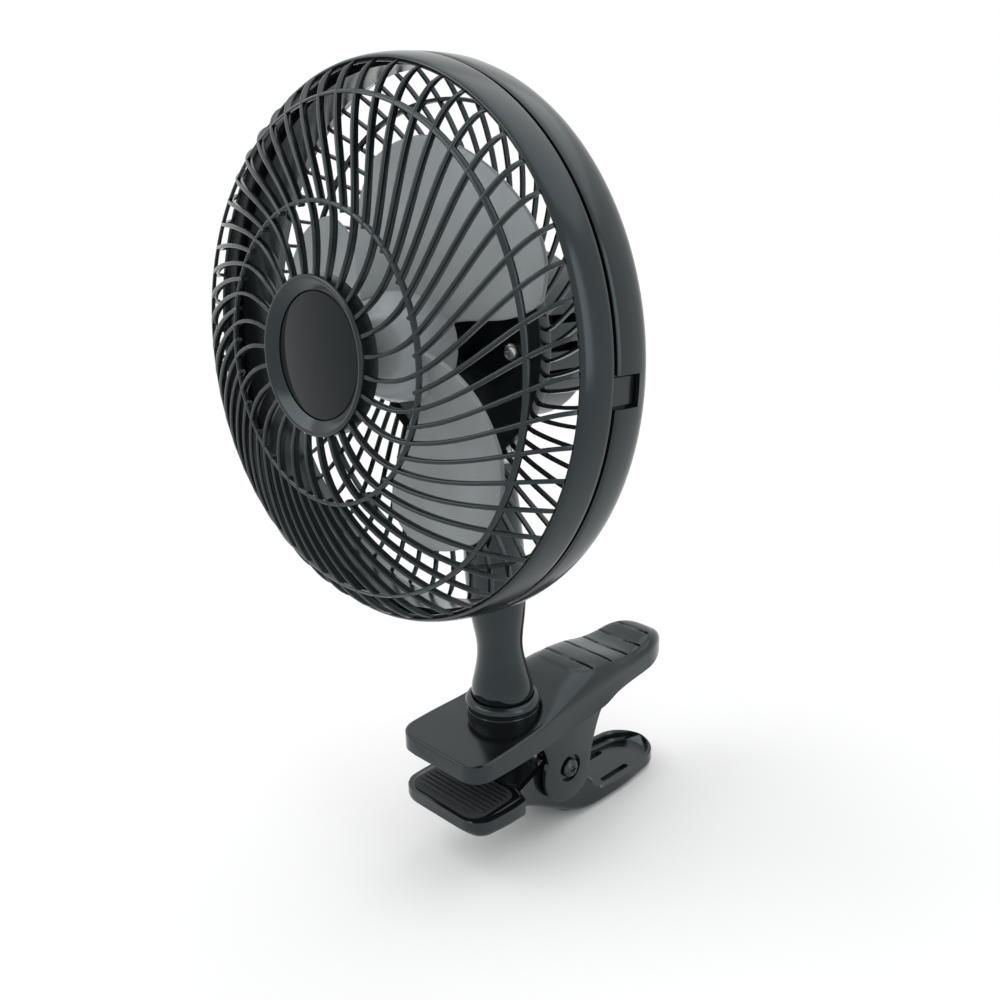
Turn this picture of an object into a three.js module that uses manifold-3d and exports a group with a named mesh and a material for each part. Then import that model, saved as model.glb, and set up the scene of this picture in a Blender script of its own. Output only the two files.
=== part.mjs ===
// Clip fan: a small table fan whose neck swivels on a spring clip.
// Millimetres, +Z up. The fan blows towards -Y and the clip's two handles point to +Y.
// The origin lies on the gripping face of the upper jaw's pad, ahead of the neck.

import * as THREE from "three";
import { mergeVertices } from "three/addons/utils/BufferGeometryUtils.js";
import Module from "manifold-3d";

const wasm = await Module();
wasm.setup();

// ---------------------------------------------------------------- driving dimensions

// Clearances between neighbouring pieces.
const seatGap = 0.3;
const runningGap = 0.2;

// Clip, seen from the side. Reaches are measured from the neck's axis.
const gripSetback = 18;
const noseReach = 35.4;
const pivotReach = 18;
const handleReach = 90;
const pivotDrop = 16.5;
const jawWidth = 43.8;
const noseCorner = 8;
const noseHeight = 6.9;
const collarBaseHeight = 10.2;
const handleHeight = 18.9;
const thumbDip = 3.2;
const handleEndHeight = 12.6;
const skirtHeight = 5.2;
const padWall = 1.6;
const shellWall = 2.2;
const handleWidth = 36;
const handleEndRound = 18;
const cheekWidth = 37;
const cheekWall = 2.2;
const cheekRadius = 14;

// Thumb pad: an oval field of cross grooves on the handle.
const padReach = 59;
const padLength = 60;
const padWidth = 29.4;
const padGrooves = 5;
const padGroovePitch = 10.4;
const padGrooveWidth = 1.1;
const padGrooveDepth = 0.8;

// Gripping pads and the lower jaw.
const gripThickness = 2.6;
const gripLength = 23;
const gripWidth = 37;
const jawOpening = 14;
const lowerPlate = 7;
const lowerNeckWidth = 31.8;
const lowerWall = 2.2;
const lowerFloor = 2.6;
const lowerReach = 83.6;
const lowerBottomDrop = 44.2;
const lowerRimHeight = 6.8;
const lowerEarRadius = 8.5;
const slotOffset = 7.4;
const slotLength = 16.6;
const slotWidth = 2.6;
const slotReach = 57.9;

// Pivot screw, its nut and the torsion spring on it.
const pinRadius = 2.5;
const pinHeadRadius = 4.2;
const pinHeadHeight = 2.6;
const pivotRecessRadius = 6.2;
const pivotRecessDepth = 0.9;
const springWire = 1.8;
const springRadius = 5.4;
const springTurns = 5;
const springPitch = 2.5;
const springSeatReach = 44;

// Collar and neck.
const bossRadius = 13.9;
const bossTop = 14.2;
const bossStep = 1.6;
const ringOuter = 14.5;
const ringHeight = 2.8;
const footRadius = 11.9;
const stubRadius = 6;
const washerRadius = 9.4;
const washerThickness = 1.2;
const pocketDepth = 4.2;
const waistRadius = 8.75;
const waistHeight = 39.5;
const shoulderRadius = 9.6;
const neckLean = 0.045;
const tiltHeight = 118;
const tongueWidth = 10.4;
const tongueRadius = 8.5;
const earWall = 4;
const earRadius = 8.8;
const tiltBoltRadius = 2.4;
const tiltHeadRadius = 4.6;
const tiltNutHeight = 3.6;

// Head: the fan's axis stands ahead of and above the tilt bolt.
const headTilt = 4.9;
const headReach = 39.4;
const headRise = 39.2;

// Guards. A forward offset is measured from the parting groove.
const rimRadius = 90.4;
const rimTaper = 2.3;
const rimBulge = 0.7;
const rimWall = 2;
const grooveHalf = 0.6;
const frontDepth = 37;
const rearDepth = 25.6;
const rearRimDepth = 14.6;
const ribCount = 54;
const ribWidth = 1.5;
const ribDepth = 3.6;
const ribEndDrop = 1.5;
const ribStartDrop = 0.6;
const hoopWidth = 1.8;
const hoopDepth = 1.9;
const hoopInset = 0.8;
const innerHoop = 46.3;
const outerHoop = 77.7;
const innerSwirl = 7.8;
const outerSwirl = 21.3;
const ribPhase = 16;
const rearSwirl = 19;
const spigotLength = 4;
const latchWidth = 9.6;
const latchLength = 8.5;

// Badge in the middle of the front guard.
const badgeRing = 24.9;
const badgeRadius = 19.8;
const badgeDepth = 2.4;
const badgeThickness = 1.8;

// Motor housing and its screws.
const plateRadius = 41.8;
const plateThickness = 2.2;
const motorRadius = 29.8;
const motorLength = 34;
const motorWall = 2.2;
const motorCorner = 5;
const coverThickness = 2.3;
const coverSpigot = 1.8;
const bushRadius = 5;
const bushLength = 8;
const bushHolder = 7.8;
const holderLength = 9;
const shaftRadius = 2;
const screwCircle = 27.2;
const screwCount = 4;
const screwHead = 2.9;
const screwShank = 1.4;
const caseScrewOffset = 21.4;
const ventCount = 3;
const ventWidth = 3;
const ventLength = 14;
const ventPitch = 18;
const glandRadius = 4.2;
const glandBore = 2.3;
const glandLength = 6;
const glandDrop = 17;
const knobRadius = 8.2;
const knobLength = 9;
const knobRise = 14;
const switchHalf = 4.5;

// Motor core.
const coreLength = 14;
const coreHalfWidth = 17;
const coreTop = 14.5;
const coreBottom = 20.5;
const coreLeg = 6;
const rotorRadius = 9.2;
const airGap = 0.4;
const coilThickness = 2.8;
const coilHalfWidth = 8.4;

// Impeller.
const bladeCount = 3;
const bladeTip = 68.5;
const bladeThickness = 1.7;
const bladeRear = -7;
const bladeFront = 9;
const hubRadius = 18;
const hubRear = -8;
const hubShoulder = 5;
const hubFront = 15.8;
const hubWall = 1.8;
const hubBoss = 5.2;

// ---------------------------------------------------------------- derived places

const neckY = gripSetback;
const noseY = neckY - noseReach;
const pivotY = neckY + pivotReach;
const pivotZ = -pivotDrop;
const handleEndY = neckY + handleReach;
const jawHalf = jawWidth / 2;
const cheekHalf = cheekWidth / 2;
const tiltY = neckY - neckLean * (tiltHeight - bossTop);
const rimFrontRadius = rimRadius - rimTaper;
const degree = Math.PI / 180;

// ---------------------------------------------------------------- shape helpers

// Turns a geometry into a solid, with shared vertices merged and faces outwards.
function asSolid(geometry) {
  const bare = new THREE.BufferGeometry();
  bare.setAttribute("position", geometry.getAttribute("position"));
  bare.setIndex(geometry.index);
  const merged = mergeVertices(bare, 1e-4);
  const points = merged.getAttribute("position").array;
  const corners = merged.index.array;
  const faces = [];
  let volume = 0;
  const a = new THREE.Vector3();
  const b = new THREE.Vector3();
  const c = new THREE.Vector3();
  for (let i = 0; i < corners.length; i += 3) {
    const [p, q, r] = [corners[i], corners[i + 1], corners[i + 2]];
    if (p === q || q === r || r === p) continue;
    a.fromArray(points, 3 * p);
    b.fromArray(points, 3 * q);
    c.fromArray(points, 3 * r);
    volume += a.dot(b.cross(c));
    faces.push(p, q, r);
  }
  if (volume < 0) faces.reverse();
  return new wasm.Manifold(new wasm.Mesh({
    numProp: 3,
    vertProperties: Float32Array.from(points),
    triVerts: Uint32Array.from(faces),
  }));
}

function joined(solids) {
  return solids.reduce((whole, solid) => whole.add(solid));
}

function cutBy(solid, cutters) {
  return cutters.reduce((rest, cutter) => rest.subtract(cutter), solid);
}

// A smooth value along a line, through [place, value] pairs.
function through(points) {
  const last = points.length - 1;
  const slopes = points.map((point, i) => {
    const before = points[Math.max(i - 1, 0)];
    const after = points[Math.min(i + 1, last)];
    return (after[1] - before[1]) / (after[0] - before[0]);
  });
  return (place) => {
    let i = 0;
    while (i < last - 1 && place > points[i + 1][0]) i += 1;
    const [from, start] = points[i];
    const [to, end] = points[i + 1];
    const span = to - from;
    const t = THREE.MathUtils.clamp((place - from) / span, 0, 1);
    const ease = t * t * (3 - 2 * t);
    const out = t * (1 - t) * (1 - t) * span * slopes[i];
    const into = t * t * (t - 1) * span * slopes[i + 1];
    return start + (end - start) * ease + out + into;
  };
}

// A solid of revolution from [radius, along] points, about Y, Z or X. Its first
// corner lies at the start angle, in degrees, which only a ring met by ribs states.
function turned(points, axis, sides, start = 90) {
  const outline = points.map(([radius, along]) => new THREE.Vector2(radius, along));
  const onAxis = points[0][0] === 0 && points[points.length - 1][0] === 0;
  if (!onAxis) outline.push(outline[0].clone());
  const geometry = new THREE.LatheGeometry(outline, sides, (90 - start) * degree);
  if (axis === "z") geometry.rotateX(Math.PI / 2);
  if (axis === "x") geometry.rotateZ(-Math.PI / 2);
  return asSolid(geometry);
}

// A plain round bar or hole from one place to another along an axis.
function bar(axis, radius, from, to, sides) {
  return turned([[0, from], [radius, from], [radius, to], [0, to]], axis, sides);
}

// A side profile, drawn in Y and Z, extruded across X.
function acrossX(shape, from, to) {
  const geometry = new THREE.ExtrudeGeometry(shape, {
    depth: to - from, bevelEnabled: false, curveSegments: 4,
  });
  geometry.applyMatrix4(new THREE.Matrix4().makeBasis(
    new THREE.Vector3(0, 1, 0), new THREE.Vector3(0, 0, 1), new THREE.Vector3(1, 0, 0)));
  geometry.translate(from, 0, 0);
  return asSolid(geometry);
}

// A plan, drawn in X and Y, extruded up Z.
function upZ(shape, from, to) {
  const geometry = new THREE.ExtrudeGeometry(shape, {
    depth: to - from, bevelEnabled: false, curveSegments: 4,
  });
  geometry.translate(0, 0, from);
  return asSolid(geometry);
}

// A front view, drawn in X and Z, extruded backwards along Y.
function alongY(shape, from, to) {
  const geometry = new THREE.ExtrudeGeometry(shape, {
    depth: to - from, bevelEnabled: false, curveSegments: 4,
  });
  geometry.applyMatrix4(new THREE.Matrix4().makeBasis(
    new THREE.Vector3(1, 0, 0), new THREE.Vector3(0, 0, 1), new THREE.Vector3(0, -1, 0)));
  geometry.translate(0, to, 0);
  return asSolid(geometry);
}

function block(x0, x1, y0, y1, z0, z1) {
  const geometry = new THREE.BoxGeometry(x1 - x0, y1 - y0, z1 - z0);
  geometry.translate((x0 + x1) / 2, (y0 + y1) / 2, (z0 + z1) / 2);
  return asSolid(geometry);
}

function roundedRectangle(x0, x1, y0, y1, radius) {
  const shape = new THREE.Shape();
  shape.moveTo(x0 + radius, y0);
  shape.lineTo(x1 - radius, y0);
  shape.quadraticCurveTo(x1, y0, x1, y0 + radius);
  shape.lineTo(x1, y1 - radius);
  shape.quadraticCurveTo(x1, y1, x1 - radius, y1);
  shape.lineTo(x0 + radius, y1);
  shape.quadraticCurveTo(x0, y1, x0, y1 - radius);
  shape.lineTo(x0, y0 + radius);
  shape.quadraticCurveTo(x0, y0, x0 + radius, y0);
  return shape;
}

// A skin over a row of equal rings of points, closed at both ends.
function lofted(rings) {
  const sides = rings[0].length;
  const index = [];
  for (let i = 0; i < rings.length - 1; i += 1) {
    for (let j = 0; j < sides; j += 1) {
      const k = (j + 1) % sides;
      const [a, b] = [i * sides + j, i * sides + k];
      index.push(a, b, b + sides, a, b + sides, a + sides);
    }
  }
  const end = (rings.length - 1) * sides;
  for (let j = 1; j < sides - 1; j += 1) {
    index.push(0, j + 1, j);
    index.push(end, end + j, end + j + 1);
  }
  const geometry = new THREE.BufferGeometry();
  geometry.setAttribute("position", new THREE.Float32BufferAttribute(rings.flat(2), 3));
  geometry.setIndex(index);
  return asSolid(geometry);
}

// A named mesh with its own finish.
function piece(parent, name, solid, color, roughness, metalness = 0) {
  const data = solid.getMesh();
  const geometry = new THREE.BufferGeometry();
  const positions = new Float32Array((data.vertProperties.length / data.numProp) * 3);
  for (let i = 0; i < positions.length / 3; i += 1) {
    for (let j = 0; j < 3; j += 1) {
      positions[3 * i + j] = data.vertProperties[data.numProp * i + j];
    }
  }
  geometry.setAttribute("position", new THREE.BufferAttribute(positions, 3));
  geometry.setIndex(new THREE.BufferAttribute(data.triVerts, 1));
  geometry.computeVertexNormals();
  const finish = new THREE.MeshStandardMaterial({ color, roughness, metalness, flatShading: true });
  const mesh = new THREE.Mesh(geometry, finish);
  mesh.name = name;
  parent.add(mesh);
  return mesh;
}

// ---------------------------------------------------------------- upper jaw and handle

const cavityStart = neckY + bossRadius;
const endStart = handleEndY - handleEndRound;

const upperHalf = through([
  [noseY, jawHalf],
  [0, jawHalf],
  [neckY, jawHalf - 1],
  [pivotY, cheekHalf + 0.9],
  [pivotY + 18, handleWidth / 2],
  [padReach + neckY, handleWidth / 2 - 2.4],
  [handleEndY, handleWidth / 2 - 6],
]);

const upperTop = through([
  [noseY, noseHeight + 0.5],
  [0, noseHeight + 1.7],
  [neckY, collarBaseHeight],
  [pivotY - 4, collarBaseHeight + 4],
  [pivotY + 6, handleHeight - 1.6],
  [pivotY + 16, handleHeight],
  [padReach + neckY - 14, handleHeight - 0.5],
  [padReach + neckY, handleHeight - thumbDip],
  [padReach + neckY + 9, handleHeight - thumbDip],
  [handleEndY - 13, handleHeight - 1.7],
  [handleEndY - 6, handleHeight - 2.7],
  [handleEndY, handleEndHeight],
]);

const upperEdge = through([
  [noseY, noseHeight - 0.5],
  [0, noseHeight + 0.4],
  [neckY, noseHeight + 1.3],
  [pivotY, noseHeight + 2.3],
  [endStart, noseHeight + 3.6],
  [handleEndY, handleEndHeight - 1.4],
]);

const upperBottom = through([
  [pivotY, 1.5],
  [pivotY + 20, skirtHeight - 2.6],
  [pivotY + 31, skirtHeight - 0.6],
  [endStart, skirtHeight],
  [handleEndY - 7, skirtHeight + 2.2],
  [handleEndY, handleEndHeight - 2.2],
]);

// How square the crowned top is: flat with a small edge at the nose, round at the handle.
const upperSquareness = through([
  [noseY, 12],
  [neckY, 8],
  [pivotY, 3.6],
  [pivotY + 22, 2.6],
  [handleEndY, 2.3],
]);

function upperHalfAt(y) {
  const fromNose = y - noseY;
  const fromTurn = Math.max(0, (y - endStart) / handleEndRound);
  const endShare = Math.sqrt(Math.max(0.001, 1 - fromTurn * fromTurn));
  let corner = 0;
  if (fromNose < noseCorner) {
    const rest = noseCorner - fromNose;
    corner = noseCorner - Math.sqrt(noseCorner * noseCorner - rest * rest);
  }
  return (upperHalf(y) - corner) * endShare;
}

// Height of the crowned top at any place on the upper jaw.
function crownAt(x, y, inset = 0) {
  const n = upperSquareness(y);
  const share = Math.min(1, Math.abs(x) / (upperHalfAt(y) - inset));
  const edge = upperEdge(y);
  return edge - inset + (upperTop(y) - edge) * Math.pow(1 - Math.pow(share, n), 1 / n);
}

// One cross section of the upper jaw: up one side, over the crown and down the other.
function upperSection(y, bottom, inset, steps) {
  const half = upperHalfAt(y) - inset;
  const edge = upperEdge(y) - inset;
  const rise = upperTop(y) - upperEdge(y);
  const power = 2 / upperSquareness(y);
  const ring = [[half, y, bottom]];
  for (let i = 0; i <= steps; i += 1) {
    const turn = Math.PI * i / steps;
    const x = half * Math.sign(Math.cos(turn)) * Math.pow(Math.abs(Math.cos(turn)), power);
    ring.push([x, y, edge + rise * Math.pow(Math.sin(turn), power)]);
  }
  ring.push([-half, y, bottom]);
  return ring;
}

function upperShell() {
  const places = [0, 0.12, 0.35, 1].map((share) => noseY + noseCorner * share);
  for (let y = 4; y < endStart - 4; y += 13) places.push(y);
  for (const share of [0, 0.45, 0.75, 0.93, 1]) {
    places.push(endStart + handleEndRound * share);
  }
  const rings = places.map((y) => {
    const bottom = y < pivotY ? padWall - 1 : upperBottom(y);
    const nose = y === noseY ? 0.7 : 0;
    return upperSection(y, bottom, 0, 6).map(([x, at, z]) => [x, at, Math.max(bottom, z - nose)]);
  });
  return lofted(rings);
}

function handleCavity() {
  const rings = [];
  const stop = handleEndY - shellWall * 1.6;
  const bays = 5;
  for (let i = 0; i <= bays; i += 1) {
    const y = cavityStart + (stop - cavityStart) * i / bays;
    rings.push(upperSection(y, -pivotDrop, shellWall, 4));
  }
  return lofted(rings);
}

// Side cheek with its round end about the pivot.
function cheekOutline() {
  const shape = new THREE.Shape();
  const frontFoot = 150 * degree;
  const rearFoot = -38 * degree;
  shape.moveTo(neckY - 2, 4);
  shape.quadraticCurveTo(
    pivotY - cheekRadius + 0.5, -1,
    pivotY + cheekRadius * Math.cos(frontFoot), pivotZ + cheekRadius * Math.sin(frontFoot));
  shape.absarc(pivotY, pivotZ, cheekRadius, frontFoot, 2 * Math.PI + rearFoot, false);
  shape.quadraticCurveTo(pivotY + 12, -6, pivotY + 28, skirtHeight + 1.2);
  shape.lineTo(pivotY + 20, skirtHeight + 2.5);
  shape.lineTo(neckY - 2, 5.4);
  return shape;
}

function cheeks() {
  const right = acrossX(cheekOutline(), cheekHalf - cheekWall, cheekHalf);
  const left = acrossX(cheekOutline(), -cheekHalf, cheekWall - cheekHalf);
  return joined([right, left]);
}

function padGrooveCutters() {
  const cutters = [];
  const middle = (padGrooves - 1) / 2;
  for (let i = 0; i < padGrooves; i += 1) {
    const y = neckY + padReach - 2.7 + (i - middle) * padGroovePitch;
    const along = (y - neckY - padReach) / (padLength / 2);
    const reach = padWidth / 2 * Math.sqrt(1 - along * along);
    const rings = [];
    const steps = 4;
    for (let j = 0; j <= steps; j += 1) {
      const x = reach * (2 * j / steps - 1);
      const floor = crownAt(x, y) - padGrooveDepth;
      rings.push([
        [x, y - padGrooveWidth / 4, floor],
        [x, y + padGrooveWidth / 4, floor],
        [x, y + padGrooveWidth / 2, floor + 2.4],
        [x, y - padGrooveWidth / 2, floor + 2.4],
      ]);
    }
    cutters.push(lofted(rings));
  }
  return cutters;
}

function collarBoss() {
  return turned([
    [0, collarBaseHeight - 5],
    [bossRadius, collarBaseHeight - 5],
    [bossRadius, bossTop - bossStep],
    [bossRadius - 0.7, bossTop - bossStep],
    [bossRadius - 0.7, bossTop],
    [0, bossTop],
  ], "z", 20).translate([0, neckY, 0]);
}

const pinHoleRadius = pinRadius + runningGap;
const washerPocket = washerRadius + seatGap;

function upperJaw() {
  const body = joined([upperShell().subtract(handleCavity()), cheeks(), collarBoss()]);
  const padPocket = upZ(roundedRectangle(
    -gripWidth / 2 - seatGap, gripWidth / 2 + seatGap,
    noseY + padWall - seatGap, noseY + padWall + gripLength + seatGap, noseCorner - padWall),
  -1, gripThickness + seatGap);
  const recessFace = cheekHalf - pivotRecessDepth;
  return cutBy(body, [
    padPocket,
    bar("z", stubRadius + runningGap, -1, bossTop + 1, 14).translate([0, neckY, 0]),
    bar("z", washerPocket, -1, pocketDepth, 14).translate([0, neckY, 0]),
    bar("x", pinHoleRadius, -cheekHalf - 1, cheekHalf + 1, 12).translate([0, pivotY, pivotZ]),
    bar("x", pivotRecessRadius, recessFace, cheekHalf + 1, 14).translate([0, pivotY, pivotZ]),
    bar("x", pivotRecessRadius, -cheekHalf - 1, -recessFace, 14).translate([0, pivotY, pivotZ]),
    ...padGrooveCutters(),
  ]);
}

function gripPad(from, to) {
  return upZ(roundedRectangle(
    -gripWidth / 2, gripWidth / 2, noseY + padWall, noseY + padWall + gripLength,
    noseCorner - padWall - seatGap), from, to);
}

// ---------------------------------------------------------------- lower jaw

const lowerEndY = neckY + lowerReach;
const lowerBottom = -lowerBottomDrop;
const lowerRim = lowerBottom + lowerRimHeight;
const lowerNeckHalf = lowerNeckWidth / 2;
const lowerTop = -jawOpening - (gripThickness - 1);
const wideEndY = noseY + padWall + gripLength + padWall;

function lowerOutline() {
  const shape = new THREE.Shape();
  const earFront = 125 * degree;
  const earRear = 10 * degree;
  shape.moveTo(noseY, lowerTop - 2);
  shape.lineTo(noseY, lowerTop);
  shape.lineTo(wideEndY + 3, lowerTop);
  shape.lineTo(pivotY + lowerEarRadius * Math.cos(earFront), pivotZ + lowerEarRadius * Math.sin(earFront));
  shape.absarc(pivotY, pivotZ, lowerEarRadius, earFront, earRear, true);
  shape.quadraticCurveTo(pivotY + 9, lowerRim + 1, pivotY + 24, lowerRim);
  shape.lineTo(lowerEndY, lowerRim);
  shape.quadraticCurveTo(lowerEndY, lowerBottom, lowerEndY - 9, lowerBottom);
  shape.lineTo(pivotY + 22, lowerBottom);
  shape.quadraticCurveTo(pivotY + 10, lowerBottom, pivotY - 2, lowerBottom + 7.5);
  shape.quadraticCurveTo(wideEndY, lowerTop - lowerPlate - 1, noseY + 6, lowerTop - lowerPlate);
  shape.quadraticCurveTo(noseY, lowerTop - lowerPlate, noseY, lowerTop - 2);
  return shape;
}

// The hollow between the two side walls, open above.
function lowerChannel() {
  const shape = new THREE.Shape();
  const start = wideEndY + 2;
  shape.moveTo(start, 10);
  shape.lineTo(start, lowerTop - lowerPlate + lowerFloor);
  shape.quadraticCurveTo(
    wideEndY + 6, lowerTop - lowerPlate + lowerFloor - 1, pivotY - 2, lowerBottom + 7.5 + lowerFloor);
  shape.quadraticCurveTo(pivotY + 10, lowerBottom + lowerFloor, pivotY + 22, lowerBottom + lowerFloor);
  shape.lineTo(lowerEndY + 5, lowerBottom + lowerFloor);
  shape.lineTo(lowerEndY + 5, 10);
  return shape;
}

// Plan of the lower jaw, wide at the nose and narrow between the cheeks, less an inset.
function lowerPlan(inset) {
  const shape = new THREE.Shape();
  const half = lowerNeckHalf - inset;
  const wide = jawHalf - inset;
  const round = noseCorner;
  const tipStart = lowerEndY - 16;
  shape.moveTo(0, noseY + inset);
  shape.lineTo(wide - round, noseY + inset);
  shape.absarc(wide - round, noseY + inset + round, round, -Math.PI / 2, 0, false);
  shape.lineTo(wide, wideEndY - 3);
  shape.quadraticCurveTo(wide, wideEndY, half, wideEndY + 2);
  shape.lineTo(half, tipStart - 22);
  shape.bezierCurveTo(
    half, tipStart + 6, half * 0.8, lowerEndY - inset, 0, lowerEndY - inset);
  shape.bezierCurveTo(
    -half * 0.8, lowerEndY - inset, -half, tipStart + 6, -half, tipStart - 22);
  shape.lineTo(-half, wideEndY + 2);
  shape.quadraticCurveTo(-wide, wideEndY, -wide, wideEndY - 3);
  shape.lineTo(-wide, noseY + inset + round);
  shape.absarc(round - wide, noseY + inset + round, round, Math.PI, 1.5 * Math.PI, false);
  return shape;
}

function slot(side) {
  const half = slotWidth / 2;
  const start = neckY + slotReach - slotLength / 2;
  const shape = roundedRectangle(-half, half, start, start + slotLength, half * 0.98);
  return upZ(shape, lowerBottom - 1, lowerRim).translate([side * slotOffset, 0, 0]);
}

function lowerJaw() {
  const outside = acrossX(lowerOutline(), -jawHalf, jawHalf)
    .intersect(upZ(lowerPlan(0), lowerBottom - 1, 5));
  const inside = acrossX(lowerChannel(), -jawHalf, jawHalf)
    .intersect(upZ(lowerPlan(lowerWall), lowerBottom - 1, 12));
  const padPocket = upZ(roundedRectangle(
    -gripWidth / 2 - seatGap, gripWidth / 2 + seatGap,
    noseY + padWall - seatGap, noseY + padWall + gripLength + seatGap, noseCorner - padWall),
  -jawOpening - gripThickness - seatGap, 5);
  return cutBy(outside, [
    inside,
    padPocket,
    slot(1),
    slot(-1),
    bar("x", pinHoleRadius, -jawHalf, jawHalf, 12).translate([0, pivotY, pivotZ]),
  ]);
}

// ---------------------------------------------------------------- pivot screw, nut and spring

function pivotScrew() {
  const seat = cheekHalf - pivotRecessDepth + seatGap;
  const end = cheekHalf + 0.4;
  return turned([
    [0, -end],
    [pinRadius, -end],
    [pinRadius, seat],
    [pinHeadRadius, seat],
    [pinHeadRadius, seat + pinHeadHeight * 0.6],
    [pinHeadRadius * 0.72, seat + pinHeadHeight],
    [0, seat + pinHeadHeight],
  ], "x", 10).translate([0, pivotY, pivotZ]);
}

function pivotNut() {
  const seat = -(cheekHalf - pivotRecessDepth + seatGap);
  const thickness = 2.8;
  const bore = (pinRadius + runningGap) / Math.cos(Math.PI / 6);
  return turned([
    [bore, seat],
    [pinHeadRadius, seat],
    [pinHeadRadius, seat - thickness],
    [bore, seat - thickness],
  ], "x", 6).translate([0, pivotY, pivotZ]);
}

// The point where a straight leg from a seat touches the coil, as an angle about the pivot.
function legAngle(seatY, seatZ, side) {
  const away = Math.hypot(seatY - pivotY, seatZ - pivotZ);
  const towards = Math.atan2(seatZ - pivotZ, seatY - pivotY);
  return towards + side * Math.acos(springRadius / away);
}

// The spring's centre line: a leg under the upper handle, the coil, a leg on the lower floor.
function springLine() {
  const wire = springWire / 2;
  const half = springTurns * springPitch / 2;
  const seatY = neckY + springSeatReach;
  const upperSeat = crownAt(half, seatY, shellWall) - wire - 2 * seatGap;
  const lowerSeat = lowerBottom + lowerFloor + wire + seatGap;
  const start = legAngle(seatY, upperSeat, 1);
  const finish = legAngle(seatY, lowerSeat, -1);
  const turn = start - finish + 2 * Math.PI * (springTurns - 1);
  const steps = 8 * springTurns;
  const line = [[-half, seatY, upperSeat]];
  for (let i = 0; i <= steps; i += 1) {
    const angle = start + turn * i / steps;
    line.push([
      -half + 2 * half * i / steps,
      pivotY + springRadius * Math.cos(angle),
      pivotZ + springRadius * Math.sin(angle),
    ]);
  }
  line.push([half, seatY, lowerSeat]);
  return line.map((point) => new THREE.Vector3(...point));
}

// The least gap of the coil to itself, between points more than half a turn apart.
function leastGap(line) {
  let least = Infinity;
  for (let i = 0; i < line.length; i += 1) {
    for (let j = i + 5; j < line.length; j += 1) {
      const segment = new THREE.Line3(line[j - 1], line[j]);
      const nearest = segment.closestPointToPoint(line[i], true, new THREE.Vector3());
      least = Math.min(least, nearest.distanceTo(line[i]) - springWire);
    }
  }
  return least;
}

function clipSpring() {
  const line = springLine();
  console.log(`least gap of the clip spring to itself: ${leastGap(line).toFixed(2)} mm`);
  const sides = 5;
  const rings = line.map((point, i) => {
    const before = line[Math.max(i - 1, 0)];
    const after = line[Math.min(i + 1, line.length - 1)];
    const along = after.clone().sub(before).normalize();
    const across = new THREE.Vector3(1, 0, 0).addScaledVector(along, -along.x).normalize();
    const up = along.clone().cross(across);
    const ring = [];
    for (let k = 0; k < sides; k += 1) {
      const turn = 2 * Math.PI * k / sides;
      const at = point.clone()
        .addScaledVector(across, Math.cos(turn) * springWire / 2)
        .addScaledVector(up, Math.sin(turn) * springWire / 2);
      ring.push(at.toArray());
    }
    return ring;
  });
  return lofted(rings);
}

// ---------------------------------------------------------------- collar, neck and its fixing

const ringBase = bossTop + seatGap;

function swivelRing() {
  const inner = footRadius + seatGap;
  return turned([
    [inner, ringBase],
    [ringOuter, ringBase],
    [ringOuter - 0.3, ringBase + ringHeight * 0.6],
    [ringOuter - 1.4, ringBase + ringHeight],
    [inner, ringBase + ringHeight],
  ], "z", 20).translate([0, neckY, 0]);
}

const shoulderZ = tiltHeight - earRadius - seatGap * 3;
const stubEnd = pocketDepth - seatGap;

const neckRadius = through([
  [bossTop + seatGap, footRadius - 0.8],
  [bossTop + 5, footRadius],
  [bossTop + 9, footRadius - 0.5],
  [waistHeight - 12, waistRadius + 1.6],
  [waistHeight - 6, waistRadius + 0.3],
  [waistHeight, waistRadius],
  [waistHeight + 8, waistRadius + 0.8],
  [waistHeight + 20, waistRadius + 1.5],
  [shoulderZ - 18, shoulderRadius],
  [shoulderZ - 3, shoulderRadius - 0.5],
  [shoulderZ, shoulderRadius - 1.8],
]);

function neckPost() {
  const sides = 14;
  const foot = bossTop + seatGap;
  const places = [0, 5, 9, 13, 17, 25.3, 33, 45]
    .map((rise) => foot + rise);
  places.push(shoulderZ - 3, shoulderZ - 1, shoulderZ);
  const rings = places.map((z) => {
    const centre = neckY - neckLean * Math.max(0, z - foot - 5);
    const ring = [];
    for (let i = 0; i < sides; i += 1) {
      const turn = 2 * Math.PI * i / sides;
      ring.push([neckRadius(z) * Math.cos(turn), centre + neckRadius(z) * Math.sin(turn), z]);
    }
    return ring;
  });
  const tongue = new THREE.Shape();
  tongue.moveTo(tiltY - tongueRadius, shoulderZ - 6);
  tongue.lineTo(tiltY + tongueRadius, shoulderZ - 6);
  tongue.lineTo(tiltY + tongueRadius, tiltHeight);
  tongue.absarc(tiltY, tiltHeight, tongueRadius, 0, Math.PI, false);
  const body = joined([
    lofted(rings),
    acrossX(tongue, -tongueWidth / 2, tongueWidth / 2),
    bar("z", stubRadius, stubEnd, foot + 1, 14).translate([0, neckY, 0]),
  ]);
  return cutBy(body, [
    bar("x", tiltBoltRadius + runningGap, -tongueWidth, tongueWidth, 12)
      .translate([0, tiltY, tiltHeight]),
    bar("z", screwShank + runningGap, stubEnd - 1, stubEnd + 9, 12).translate([0, neckY, 0]),
  ]);
}

function neckWasher() {
  const top = stubEnd - seatGap;
  return turned([
    [screwShank + runningGap, top - washerThickness],
    [washerRadius, top - washerThickness],
    [washerRadius, top],
    [screwShank + runningGap, top],
  ], "z", 12).translate([0, neckY, 0]);
}

function neckScrew() {
  const seat = stubEnd - seatGap - washerThickness - seatGap;
  return turned([
    [0, seat - 1.6],
    [screwHead, seat - 1.6],
    [screwHead, seat],
    [screwShank, seat],
    [screwShank, stubEnd + 8],
    [0, stubEnd + 8],
  ], "z", 12).translate([0, neckY, 0]);
}

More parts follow.
